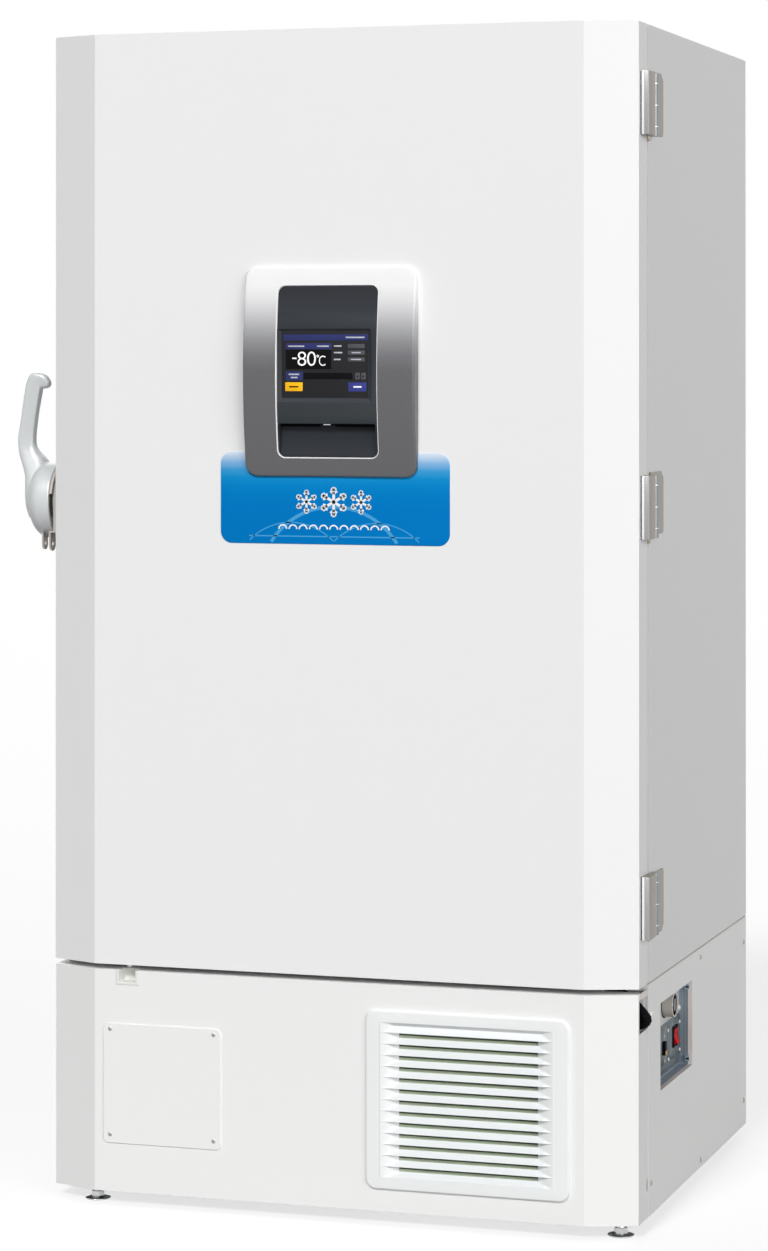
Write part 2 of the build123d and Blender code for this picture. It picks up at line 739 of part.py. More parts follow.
with BuildPart() as intake_grille:
    plate_xz(
        grille_left, grille_right, grille_low, grille_high,
        grille_face_y, grille_face_thick, grille_corner,
    )
    chamfer(intake_grille.edges().group_by(Axis.Y)[0], length=grille_face_thick * 0.4)
    slab(
        hole_left + seat_gap, hole_right - seat_gap, panel_front_y, panel_front_y + grille_depth,
        hole_low + seat_gap, hole_high - seat_gap,
    )
    with BuildSketch(Plane.XZ.offset(-grille_face_y)) as field_mouth:
        with Locations(((field_left_x + field_right_x) / 2, (field_low_z + field_high_z) / 2)):
            Rectangle(field_right_x - field_left_x, field_high_z - field_low_z)
    with BuildSketch(Plane.XZ.offset(-(grille_face_y + ridge_set_back))) as field_floor:
        with Locations(((floor_left + floor_right) / 2, (floor_low + floor_high) / 2)):
            Rectangle(floor_right - floor_left, floor_high - floor_low)
    loft(sections=[field_mouth.sketch, field_floor.sketch], ruled=True, mode=Mode.SUBTRACT)
    for i in range(louvre_count):
        trough_high = ridges[i + 1] - ridge_land / 2
        slot_high = trough_high - slot_drop
        trough(ridges[i] + ridge_land / 2, trough_high, slot_high - slot_height, slot_high, louvre_depth)
        slab(
            slot_left, slot_right, grille_face_y + louvre_depth - overrun / 2,
            panel_front_y + grille_depth + overrun,
            slot_high - slot_height, slot_high, Mode.SUBTRACT,
        )
    blind_low = ridges[louvre_count] + ridge_land / 2
    trough(
        blind_low, floor_high - ridge_land, blind_low + slot_drop / 2, blind_low + slot_drop,
        louvre_depth - ridge_set_back,
    )
    for tongue_x in (hole_left + tongue_width, hole_right - tongue_width):
        for tongue_z in (hole_low + seat_gap, hole_high - seat_gap - tongue_thick):
            slab(
                tongue_x - tongue_width / 2, tongue_x + tongue_width / 2,
                panel_front_y + grille_depth, panel_front_y + grille_depth + tongue_length,
                tongue_z, tongue_z + tongue_thick,
            )
finish(intake_grille, "intake_grille")

# Filter: a fine mat in a light frame, held by the grille's tongues
filter_frame = 9.0
filter_thick = 6.0
filter_mat_thick = 1.5
filter_left = hole_left + seat_gap
filter_right = hole_right - seat_gap
filter_low = hole_low + seat_gap * 2 + tongue_thick
filter_high = hole_high - seat_gap * 2 - tongue_thick
filter_y = panel_front_y + grille_depth
with BuildPart() as condenser_filter:
    slab(filter_left, filter_right, filter_y, filter_y + filter_thick, filter_low, filter_high)
    for y_low, y_high in (
        (filter_y - overrun, filter_y + (filter_thick - filter_mat_thick) / 2),
        (filter_y + (filter_thick + filter_mat_thick) / 2, filter_y + filter_thick + overrun),
    ):
        slab(
            filter_left + filter_frame, filter_right - filter_frame, y_low, y_high,
            filter_low + filter_frame, filter_high - filter_frame, Mode.SUBTRACT,
        )
finish(condenser_filter, "condenser_filter")

# Blank cover plate on the left of the front panel
cover_left_distance = 101.5
cover_left = left_x + cover_left_distance
cover_width = 212.5
cover_low = 104.0
cover_height = 204.0
cover_thick = 2.0
cover_corner = 9.0
cover_screw_inset = 12.5
cover_screw_low = 14.5
cover_screw_high = 10.0
cover_right = cover_left + cover_width
cover_high = cover_low + cover_height
cover_face_y = panel_front_y - cover_thick
with BuildPart() as cover_plate:
    plate_xz(cover_left, cover_right, cover_low, cover_high, cover_face_y, cover_thick, cover_corner)
    chamfer(cover_plate.edges().group_by(Axis.Y)[0], length=cover_thick * 0.3)
finish(cover_plate, "cover_plate")

# Pan-head screws, drawn as their heads
head_radius = 4.5
head_height = 2.4
small_head_radius = 3.5
small_head_height = 1.4
head_taper = 28.0
head_sides = 16
# Along the depth, and up the side panel
side_screw_shares = (
    (0.1315, 0.875), (0.1315, 0.183), (0.559, 0.962), (0.559, 0.084), (0.9745, 0.89), (0.9745, 0.169),
)


def screw_head(plane, radius, rise):
    with BuildSketch(plane) as rim:
        RegularPolygon(radius, head_sides)
    extrude(rim.sketch, amount=rise, taper=head_taper)


with BuildPart() as panel_screws:
    for depth_share, height_share in side_screw_shares:
        y = front_y + depth * depth_share
        z = side_top * height_share
        screw_head(Plane((right_x, y, z), x_dir=(0, 1, 0), z_dir=(1, 0, 0)), head_radius, head_height)
        screw_head(Plane((left_x, y, z), x_dir=(0, 1, 0), z_dir=(-1, 0, 0)), head_radius, head_height)
    for x in (cover_left + cover_screw_inset, cover_right - cover_screw_inset):
        for z in (cover_low + cover_screw_low, cover_high - cover_screw_high):
            screw_head(
                Plane((x, cover_face_y, z), x_dir=(1, 0, 0), z_dir=(0, -1, 0)),
                small_head_radius, small_head_height,
            )
finish(panel_screws, "panel_screws")

# Service recess in the right side: box, plates, signal port and the switches
box_thick = 1.2
box_floor_x = right_x - recess_depth
box_flange = 8.0
plate_thick = 1.5
plate_margin = 4.0
upper_plate_height = 52.5
upper_plate_drop = 3.5  # below the recess's top
plate_split = 1.5  # between upper and lower plate
sub_rise = 21.0  # above the recess's floor
sub_height = 65.0
switch_sub_front = 331.0  # from the door's front
switch_sub_length = 93.0
breaker_sub_front = 279.0
breaker_sub_length = 48.0
port_front = 305.0
port_drop = 22.5  # below the recess's top
port_radius = 21.5
port_reach = 17.0
bezel_front = 364.0
bezel_length = 34.0
bezel_rise = 39.0  # above the recess's floor
bezel_height = 36.0
bezel_wall = 4.0
bezel_thick = 2.5
housing_inset = 2.0
housing_depth = 20.0
rocker_gap = 0.4
upper_plate_high = recess_high - upper_plate_drop
upper_plate_low = upper_plate_high - upper_plate_height
lower_plate_low = recess_low + plate_margin
lower_plate_high = upper_plate_low - plate_split
sub_low = recess_low + sub_rise
sub_high = sub_low + sub_height
port_z_middle = recess_high - port_drop
bezel_low = recess_low + bezel_rise
bezel_high = bezel_low + bezel_height
plates_front = recess_front_y + plate_margin
plates_back = recess_back_y - plate_margin
bezel_y = front_y + bezel_front
bezel_back = bezel_y + bezel_length
bezel_mid_z = (bezel_low + bezel_high) / 2
lower_face_x = box_floor_x + plate_thick
sub_face_x = lower_face_x + plate_thick
bezel_face_x = sub_face_x + bezel_thick
housing_y = bezel_y + housing_inset
housing_back = bezel_back - housing_inset
housing_low = bezel_low + housing_inset
housing_high = bezel_high - housing_inset
housing_x = bezel_face_x - housing_depth
with BuildPart() as service_box:
    slab(
        box_floor_x - box_thick, right_x - sheet, recess_front_y - box_thick,
        recess_back_y + box_thick, recess_low - box_thick, recess_high + box_thick,
    )
    slab(
        right_x - sheet - box_thick, right_x - sheet, recess_front_y - box_flange,
        recess_back_y + box_flange, recess_low - box_flange, recess_high + box_flange,
    )
    slab(
        box_floor_x, right_x, recess_front_y, recess_back_y, recess_low, recess_high, Mode.SUBTRACT,
    )
    slab(
        box_floor_x - box_thick - overrun, box_floor_x + overrun,
        housing_y, housing_back, housing_low, housing_high, Mode.SUBTRACT,
    )
finish(service_box, "service_box")

with BuildPart() as service_plates:
    slab(
        box_floor_x, lower_face_x, plates_front, plates_back, upper_plate_low, upper_plate_high,
    )
    slab(
        box_floor_x, lower_face_x, plates_front, plates_back, lower_plate_low, lower_plate_high,
    )
    for sub_front, sub_length in (
        (switch_sub_front, switch_sub_length), (breaker_sub_front, breaker_sub_length),
    ):
        slab(
            lower_face_x, sub_face_x, front_y + sub_front, front_y + sub_front + sub_length,
            sub_low, sub_high,
        )
    slab(
        box_floor_x - overrun, sub_face_x + overrun,
        housing_y, housing_back, housing_low, housing_high, Mode.SUBTRACT,
    )
finish(service_plates, "service_plates")

port_ring = 15.0
port_core = 11.0
port_cup = 8.0
with BuildPart() as signal_port:
    port_y = front_y + port_front
    rod_x(lower_face_x, lower_face_x + port_reach, port_y, port_z_middle, port_radius)
    chamfer(signal_port.edges().group_by(Axis.X)[-1], length=port_radius - port_ring - port_cup / 2)
    rod_x(
        lower_face_x + port_reach - port_cup, lower_face_x + port_reach + overrun,
        port_y, port_z_middle, port_ring, Mode.SUBTRACT,
    )
    rod_x(
        lower_face_x + port_reach - port_cup, lower_face_x + port_reach - port_cup / 4,
        port_y, port_z_middle, port_core,
    )
finish(signal_port, "signal_port")

# Mains rocker in its housing, and the breaker button beside it
rocker_pin = 1.5
rocker_tilt = 9.0
rocker_crown = 5.0
rocker_root = 7.0
rocker_y_low = housing_y + bezel_wall - housing_inset + rocker_gap
rocker_y_high = housing_back - bezel_wall + housing_inset - rocker_gap
rocker_half = (bezel_high - bezel_low) / 2 - bezel_wall - rocker_gap * 2
rocker_x = bezel_face_x - rocker_root / 2
breaker_button_distance = 286.0
breaker_button_y = front_y + breaker_button_distance
breaker_button_length = 11.0
breaker_button_rise = 40.0  # above the recess's floor
breaker_button_height = 23.0
breaker_button_low = recess_low + breaker_button_rise
breaker_button_high = breaker_button_low + breaker_button_height
breaker_button_reach = 6.0
with BuildPart() as switch_housings:
    slab(sub_face_x, bezel_face_x, bezel_y, bezel_back, bezel_low, bezel_high)
    slab(housing_x, sub_face_x, housing_y, housing_back, housing_low, housing_high)
    slab(
        housing_x + bezel_wall, bezel_face_x + overrun,
        bezel_y + bezel_wall, bezel_back - bezel_wall,
        bezel_low + bezel_wall, bezel_high - bezel_wall, Mode.SUBTRACT,
    )
    with BuildSketch(Plane.XZ.offset(-(bezel_y + bezel_wall / 2))) as pin_hole:
        with Locations((rocker_x, bezel_mid_z)):
            Circle(rocker_pin + fit_gap)
    extrude(pin_hole.sketch, amount=-(bezel_length - bezel_wall), mode=Mode.SUBTRACT)
    slab(
        sub_face_x, sub_face_x + breaker_button_reach,
        breaker_button_y, breaker_button_y + breaker_button_length,
        breaker_button_low, breaker_button_high,
    )
finish(switch_housings, "switch_housings")

tilt = radians(rocker_tilt)
rocker_profile = [
    (-rocker_root * 0.6, -rocker_half * 0.35), (rocker_root * 0.25, -rocker_half * 0.97),
    (rocker_crown + rocker_root * 0.3, -rocker_half * 0.95), (rocker_crown * 0.7, 0),
    (rocker_crown + rocker_root * 0.3, rocker_half * 0.95), (rocker_root * 0.25, rocker_half * 0.97),
    (-rocker_root * 0.6, rocker_half * 0.35),
]
rocker_points = [
    (rocker_x + u * cos(tilt) - w * sin(tilt), bezel_mid_z + u * sin(tilt) + w * cos(tilt))
    for u, w in rocker_profile
]
with BuildPart() as power_rocker:
    with BuildSketch(Plane.XZ.offset(-rocker_y_low)) as rocker_side:
        with BuildLine():
            Polyline(*rocker_points, rocker_points[0])
        make_face()
    extrude(rocker_side.sketch, amount=-(rocker_y_high - rocker_y_low))
    rod_y(
        bezel_y + bezel_wall / 2 + rocker_gap, bezel_back - bezel_wall / 2 - rocker_gap,
        rocker_x, bezel_mid_z, rocker_pin,
    )
finish(power_rocker, "power_rocker")

# Conduit that carries the door's wires, looping out of the notch and up under the hinge
with BuildPart() as door_conduit:
    tail_x = conduit_center_x - conduit_tail
    conduit_low = (conduit_center_x, conduit_y, conduit_z - conduit_bend)
    conduit_high = (conduit_center_x, conduit_y, conduit_z + conduit_bend)
    with BuildLine() as conduit_line:
        Line((tail_x, conduit_y, conduit_z - conduit_bend), conduit_low)
        ThreePointArc(
            conduit_low, (conduit_center_x + conduit_bend, conduit_y, conduit_z), conduit_high,
        )
        Line(conduit_high, (tail_x, conduit_y, conduit_z + conduit_bend))
    with BuildSketch(Plane(conduit_line.line ^ 0)):
        RegularPolygon(conduit_radius, conduit_sides)
    sweep(path=conduit_line.line)
finish(door_conduit, "door_conduit")

# Condenser behind the filter: a finned block between two plates, fed by cross tubes
condenser_gap = 6.0  # behind the filter
condenser_thick = 44.0
condenser_margin = 4.0
fin_pitch = 24.0
fin_thick = 3.0
fin_slot_depth = 8.0
end_plate = 2.0
tube_radius = 4.0
tube_rows = 3
condenser_foot = 20.0
condenser_y = filter_y + filter_thick + condenser_gap
condenser_back = condenser_y + condenser_thick
condenser_left = hole_left + condenser_margin
condenser_right = hole_right - condenser_margin
condenser_low = pan_top + condenser_margin
condenser_high = hole_high - condenser_margin
with BuildPart() as condenser:
    slab(condenser_left, condenser_right, condenser_y, condenser_back, condenser_low, condenser_high)
    fin_count = int((condenser_right - condenser_left) / fin_pitch)
    for i in range(fin_count):
        slot_x = condenser_left + end_plate + (i + 0.5) * fin_pitch
        slab(
            slot_x - fin_thick / 2, slot_x + fin_thick / 2, condenser_y - overrun,
            condenser_y + fin_slot_depth, condenser_low - overrun, condenser_high + overrun,
            Mode.SUBTRACT,
        )
    for i in range(tube_rows):
        tube_z = condenser_low + (condenser_high - condenser_low) * (i + 0.5) / tube_rows
        rod_x(
            condenser_left - tube_radius * 2, condenser_right + tube_radius * 2,
            (condenser_y + condenser_back) / 2, tube_z, tube_radius,
        )
    slab(
        condenser_left, condenser_right, condenser_back, condenser_back + pan_thick,
        pan_top, condenser_low + condenser_foot,
    )
    slab(
        condenser_left, condenser_right, condenser_back, cabinet_front_y + condenser_foot,
        pan_top, pan_top + pan_thick,
    )
finish(condenser, "condenser")

# Fan shroud with its motor on three arms, and the fan
shroud_gap = 3.0
shroud_thick = 2.0
shroud_ring = 12.0
fan_radius = 105.0
fan_tip_gap = 5.0
hub_radius = 26.0
hub_length = 18.0
motor_radius = 34.0
motor_length = 42.0
motor_shaft = 4.0
shaft_length = 16.0
arm_half = 6.0
blade_count = 5
blade_thick = 2.5
blade_chord = 70.0
blade_pitch = 28.0
shroud_y = condenser_back + pan_thick + shroud_gap
shroud_back = shroud_y + shroud_ring
fan_x = (condenser_left + condenser_right) / 2
fan_z = (condenser_low + condenser_high) / 2
fan_y = shroud_back + shroud_gap
motor_y = fan_y + hub_length + shroud_gap
motor_back = motor_y + motor_length
with BuildPart() as fan_shroud:
    slab(
        condenser_left, condenser_right, shroud_y, shroud_y + shroud_thick,
        pan_top + pan_thick, condenser_high,
    )
    slab(
        condenser_left, condenser_right, condenser_back, shroud_y + shroud_thick,
        condenser_high, condenser_high + shroud_thick,
    )
    rod_y(shroud_y, shroud_back, fan_x, fan_z, fan_radius + fan_tip_gap + shroud_thick)
    rod_y(
        shroud_y - overrun, shroud_back + overrun, fan_x, fan_z, fan_radius + fan_tip_gap,
        Mode.SUBTRACT,
    )
    rod_y(motor_y, motor_back, fan_x, fan_z, motor_radius)
    rod_y(motor_y - shaft_length, motor_y, fan_x, fan_z, motor_shaft)
    arm_reach = fan_radius + fan_tip_gap + shroud_thick + arm_half
    for arm_x in (fan_x - arm_reach, fan_x + arm_reach):
        slab(
            arm_x - arm_half, arm_x + arm_half, shroud_y + shroud_thick, motor_back,
            fan_z - arm_half, fan_z + arm_half,
        )
    for arm_low, arm_high in ((fan_x - arm_reach, fan_x), (fan_x, fan_x + arm_reach)):
        slab(
            arm_low, arm_high, motor_back - arm_half, motor_back, fan_z - arm_half, fan_z + arm_half,
        )
finish(fan_shroud, "fan_shroud")

with BuildPart() as condenser_fan:
    rod_y(fan_y, fan_y + hub_length, fan_x, fan_z, hub_radius)
    for i in range(blade_count):
        turn = radians(360 * i / blade_count)
        pitch = radians(blade_pitch)
        blade_plane = Plane(
            (fan_x, fan_y + hub_length / 2, fan_z), x_dir=(cos(turn), 0, sin(turn)),
            z_dir=(-sin(pitch) * sin(turn), cos(pitch), sin(pitch) * cos(turn)),
        )
        with BuildSketch(blade_plane) as blade:
            with BuildLine():
                Polyline(
                    (hub_radius * 0.8, -blade_chord * 0.2), (fan_radius * 0.93, -blade_chord * 0.45),
                    (fan_radius * 0.9, blade_chord * 0.5), (hub_radius * 0.8, blade_chord * 0.2),
                    (hub_radius * 0.8, -blade_chord * 0.2),
                )
            make_face()
        extrude(blade.sketch, amount=blade_thick / 2, both=True)
    rod_y(
        fan_y - overrun, fan_y + hub_length + overrun, fan_x, fan_z, motor_shaft + fit_gap,
        Mode.SUBTRACT,
    )
finish(condenser_fan, "condenser_fan")

# Two hermetic compressors on the pan
shell_radius = 92.0
shell_height = 190.0
shell_seam = 4.0
shell_seam_height = 6.0
shell_foot = 14.0
shell_bar_distance = 32.0
shell_bar_half = 14.0
bend_share = 0.3  # of the bend, where its two cones meet
stub_radius = 6.0
stub_length = 40.0
first_stage_left = 215.0  # from the left side
first_stage_front = 60.0
second_stage_left = 70.0
second_stage_back = 150.0
compressors = (
    ("first_stage_compressor", left_x + first_stage_left, mid_y - first_stage_front),
    ("second_stage_compressor", mid_x - second_stage_left, mid_y + second_stage_back),
)
for compressor_name, x, y in compressors:
    shell_low = pan_top + shell_foot
    with BuildPart() as compressor:
        with BuildSketch(Plane.XZ.offset(-y)) as shell_profile:
            with BuildLine():
                bend = shell_radius * 0.45
                shell_high = shell_low + shell_height
                seam_z = shell_low + shell_height * 0.55
                wall_x = x + shell_radius
                seam_x = wall_x + shell_seam
                Polyline(
                    (x, shell_low), (wall_x - bend, shell_low),
                    (wall_x - bend * bend_share, shell_low + bend * bend_share),
                    (wall_x, shell_low + bend), (wall_x, seam_z), (seam_x, seam_z),
                    (seam_x, seam_z + shell_seam_height), (wall_x, seam_z + shell_seam_height),
                    (wall_x, shell_high - bend),
                    (wall_x - bend * bend_share, shell_high - bend * bend_share),
                    (wall_x - bend, shell_high), (x, shell_high), (x, shell_low),
                )
            make_face()
        revolve(shell_profile.sketch, axis=Axis((x, y, 0), (0, 0, 1)))
        for bar_y in (y - shell_bar_distance, y + shell_bar_distance):
            slab(
                x - shell_radius, x + shell_radius, bar_y - shell_bar_half, bar_y + shell_bar_half,
                pan_top, shell_low,
            )
        rod_x(
            x - shell_radius - stub_length, x, y, shell_low + shell_height * 0.7, stub_radius,
        )
    finish(compressor, compressor_name)

# Hinges: three sets of leaves with interleaved knuckles on one upright axis
hinge_axis_out = 8.0  # from the cabinet's side
hinge_axis_back = 110.0  # behind the door's front
hinge_leaf_front = 42.0
hinge_cover_end = 90.0  # behind the door's front, where the cover turns in
hinge_leaf_back = 196.0
hinge_leaf_gap = 1.5  # door leaf over the cabinet's side
hinge_cover_corner = 4.0
hinge_plate = 3.0
knuckle_radius = 6.5
hinge_pin_radius = 3.0
knuckle_gap = 0.6
knuckle_shares = (0.155, 0.493, 0.84)  # joints between knuckles, of the hinge's height
leaf_rise = 4.0
leaf_corner = 10.0
hinge_span_shares = ((0.2439, 0.2961), (0.5733, 0.6257), (0.9069, 0.9594))  # of the height
hinge_spans = [(low * height, high * height) for low, high in hinge_span_shares]
axis_x = right_x + hinge_axis_out
axis_y = front_y + hinge_axis_back
cover_x = right_x + hinge_reach
leaf_front_y = front_y + hinge_leaf_front
leaf_back_y = front_y + hinge_leaf_back
cover_end_y = front_y + hinge_cover_end
with BuildPart() as cabinet_hinge_leaves:
    for low, high in hinge_spans:
        cuts = [low + share * (high - low) for share in knuckle_shares]
        knuckles = ((low, cuts[0] - knuckle_gap / 2), (cuts[1] + knuckle_gap / 2, cuts[2] - knuckle_gap / 2))
        with BuildSketch(Plane.YZ.offset(right_x)) as leaf:
            with BuildLine():
                Polyline(
                    (axis_y, low + leaf_rise), (leaf_back_y - leaf_corner, low + leaf_rise),
                    (leaf_back_y, low + leaf_rise + leaf_corner),
                    (leaf_back_y, high + leaf_rise - leaf_corner / 2),
                    (leaf_back_y - leaf_corner / 2, high + leaf_rise),
                    (axis_y, high + leaf_rise), (axis_y, low + leaf_rise),
                )
            make_face()
        extrude(leaf.sketch, amount=hinge_plate)
        for knuckle_low, knuckle_high in knuckles:
            rod_z(knuckle_low, knuckle_high, axis_x, axis_y, knuckle_radius)
            slab(
                right_x, axis_x, axis_y + knuckle_radius * 0.3, axis_y + knuckle_radius,
                knuckle_low, knuckle_high,
            )
            rod_z(
                knuckle_low - overrun, knuckle_high + overrun, axis_x, axis_y, hinge_pin_radius,
                Mode.SUBTRACT,
            )
        for cut_low, cut_high in (
            (cuts[0] - knuckle_gap / 2, cuts[1] + knuckle_gap / 2),
            (cuts[2] - knuckle_gap / 2, high + leaf_rise + overrun),
        ):
            rod_z(cut_low, cut_high, axis_x, axis_y, knuckle_radius + knuckle_gap, Mode.SUBTRACT)
    for low, high in hinge_spans:
        rod_z(low, high, axis_x, axis_y, hinge_pin_radius)
finish(cabinet_hinge_leaves, "cabinet_hinge_leaves")

# Door leaves of the hinges: rounded covers with the other knuckles
with BuildPart() as door_hinge_leaves:
    for low, high in hinge_spans:
        cuts = [low + share * (high - low) for share in knuckle_shares]
        with BuildSketch(Plane.XY.offset(low)):
            with BuildLine():
                corner_start = (right_x, leaf_front_y)
                bend_start = (cover_x - hinge_cover_corner, leaf_front_y)
                bend_end = (cover_x, leaf_front_y + hinge_cover_corner)
                Line(corner_start, bend_start)
                RadiusArc(bend_start, bend_end, -hinge_cover_corner)
                Line(bend_end, (cover_x, cover_end_y))
                Line((cover_x, cover_end_y), (axis_x + knuckle_radius / 2, axis_y - knuckle_radius / 2))
                Line((axis_x + knuckle_radius / 2, axis_y - knuckle_radius / 2), (axis_x, axis_y))
                Line((axis_x, axis_y), (axis_x, axis_y - knuckle_radius))
                Line(
                    (axis_x, axis_y - knuckle_radius),
                    (right_x + hinge_leaf_gap, axis_y - knuckle_radius),
                )
                Line(
                    (right_x + hinge_leaf_gap, axis_y - knuckle_radius),
                    (right_x + hinge_leaf_gap, door_back_y),
                )
                Line((right_x + hinge_leaf_gap, door_back_y), (right_x, door_back_y))
                Line((right_x, door_back_y), corner_start)
            make_face()
        extrude(amount=high - low)
        rod_z(low, high, axis_x, axis_y, knuckle_radius)
        for cut_low, cut_high in (
            (low - overrun, cuts[0] + knuckle_gap / 2),
            (cuts[1] - knuckle_gap / 2, cuts[2] + knuckle_gap / 2),
        ):
            rod_z(cut_low, cut_high, axis_x, axis_y, knuckle_radius + knuckle_gap, Mode.SUBTRACT)
        rod_z(
            low - overrun, high + overrun, axis_x, axis_y, hinge_pin_radius + fit_gap, Mode.SUBTRACT,
        )
finish(door_hinge_leaves, "door_hinge_leaves")

# Door: steel skin with cut-back corners, foam, inner panel and gasket
door_outline = (
    (left_x, door_back_y), (left_x, front_y + corner_depth), (left_x + corner_width, front_y),
    (right_x - corner_width, front_y), (right_x, front_y + corner_depth), (right_x, door_back_y),
    (left_x, door_back_y),
)
inner_panel_thick = 2.0
inner_panel_rise = 4.0
inner_panel_rim = 52.0
lock_pin_radius = 4.0
lock_pin_length = 5.0
lock_pin_set_back = 13.0
cup_middle = (cup_left + cup_right) / 2
panel_face_y = door_back_y - inner_panel_thick
with BuildPart() as door_shell:
    with BuildSketch(Plane.XY.offset(door_bottom)):
        with BuildLine():
            Polyline(*door_outline)
        make_face()
    extrude(amount=height - door_bottom)
    with BuildSketch(Plane.XY.offset(door_bottom + sheet)):
        with BuildLine():
            Polyline(*door_outline)
        make_face()
        offset(amount=-sheet, kind=Kind.INTERSECTION)
    extrude(amount=height - door_bottom - 2 * sheet, mode=Mode.SUBTRACT)
    slab(
        left_x + sheet, right_x - sheet, panel_face_y, door_back_y + overrun,
        door_bottom + sheet, height - sheet, Mode.SUBTRACT,
    )
    rod_z(
        door_bottom - lock_pin_length, door_bottom, cup_middle, front_y + lock_pin_set_back,
        lock_pin_radius,
    )
finish(door_shell, "door_shell")

with BuildPart() as door_insulation:
    with BuildSketch(Plane.XY.offset(door_bottom + sheet)):
        with BuildLine():
            Polyline(*door_outline)
        make_face()
        offset(amount=-sheet, kind=Kind.INTERSECTION)
    extrude(amount=height - door_bottom - 2 * sheet)
    slab(
        left_x, right_x, panel_face_y, door_back_y, door_bottom, height, Mode.SUBTRACT,
    )
finish(door_insulation, "door_insulation")

with BuildPart() as door_inner_panel:
    slab(
        left_x + sheet, right_x - sheet, panel_face_y, door_back_y,
        door_bottom + sheet, height - sheet,
    )
    with BuildSketch(Plane.XZ.offset(-door_back_y)) as raised_base:
        with Locations((mid_x, (door_bottom + height) / 2)):
            RectangleRounded(
                width - 2 * inner_panel_rim, height - door_bottom - 2 * inner_panel_rim,
                inner_panel_rim / 2,
            )
    extrude(raised_base.sketch, amount=-inner_panel_rise, taper=-45)
finish(door_inner_panel, "door_inner_panel")

gasket_inset = 3.0
gasket_width = 26.0
gasket_base = 2.0
gasket_neck = 1.2
gasket_neck_inset = 5.0
gasket_seat_y = cabinet_front_y - seat_gap
with BuildPart() as door_gasket:
    for y_low, y_high, inset in (
        (door_back_y, door_back_y + gasket_base, gasket_inset),
        (door_back_y + gasket_base, gasket_seat_y - gasket_neck, gasket_inset + gasket_neck_inset / 2),
        (gasket_seat_y - gasket_neck, gasket_seat_y, gasket_inset),
    ):
        slab(
            left_x + inset, right_x - inset, y_low, y_high, door_bottom + inset, height - inset,
        )
    slab(
        left_x + gasket_inset + gasket_width, right_x - gasket_inset - gasket_width,
        door_back_y - overrun, gasket_seat_y + overrun,
        door_bottom + gasket_inset + gasket_width, height - gasket_inset - gasket_width,
        Mode.SUBTRACT,
    )
finish(door_gasket, "door_gasket")

# Control surround: a plate arched from top to bottom round the dark panel
surround_left_distance = 361.0
surround_left = left_x + surround_left_distance
surround_width = 301.0
surround_low = 1242.0
surround_height = 352.0
surround_corner = 20.0
surround_edge = 6.0  # thickness at the top and bottom edges
surround_round = 4.0
window_left_distance = 60.4
window_left = surround_left + window_left_distance
window_width = 174.4
window_low = 1275.0
window_height = 286.0
window_corner = 12.0
surround_right = surround_left + surround_width
surround_high = surround_low + surround_height
window_right = window_left + window_width
window_high = window_low + window_height

# Blue plate tucked behind the surround
badge_left_distance = 314.3
badge_left = left_x + badge_left_distance
badge_width = 402.9
badge_low = 1129.0
badge_height = 154.0
badge_corner = 20.0
badge_thick = 1.0
badge_right = badge_left + badge_width
badge_high = badge_low + badge_height


def arch_prism(x_low, x_high, z_low, z_high, edge, rise, mode=Mode.ADD):
    # the space between the door's face and an arc that bows forward from edge to rise
    with BuildSketch(Plane.YZ.offset(x_low)) as side:
        with BuildLine():
            mid = (z_low + z_high) / 2
            ThreePointArc((front_y - edge, z_low), (front_y - rise, mid), (front_y - edge, z_high))
            Line((front_y - edge, z_high), (front_y, z_high))
            Line((front_y, z_high), (front_y, z_low))
            Line((front_y, z_low), (front_y - edge, z_low))
        make_face()
    extrude(side.sketch, amount=x_high - x_low, mode=mode)


with BuildPart() as control_frame:
    arch_prism(surround_left, surround_right, surround_low, surround_high, surround_edge, arch_rise)
    fillet(
        control_frame.edges().filter_by(Axis.Y), radius=surround_corner,
    )
    fillet(
        control_frame.faces().filter_by(Axis.Y, reverse=True).faces().filter_by(GeomType.CYLINDER)
        .sort_by(SortBy.AREA)[-1].edges(),
        radius=surround_round,
    )
    plate_xz(
        window_left, window_right, window_low, window_high,
        front_y - arch_rise - overrun, arch_rise + 2 * overrun, window_corner, Mode.SUBTRACT,
    )
    plate_xz(
        badge_left - seat_gap, badge_right + seat_gap, badge_low, badge_high + seat_gap,
        front_y - badge_thick - seat_gap, badge_thick + seat_gap + overrun, badge_corner,
        Mode.SUBTRACT,
    )
finish(control_frame, "control_frame")

with BuildPart() as blue_plate:
    plate_xz(
        badge_left, badge_right, badge_low, badge_high, front_y - badge_thick, badge_thick,
        badge_corner,
    )
    plate_xz(
        window_left, window_right, window_low, window_high, front_y - badge_thick - overrun,
        badge_thick + 2 * overrun, window_corner, Mode.SUBTRACT,
    )
finish(blue_plate, "blue_plate")

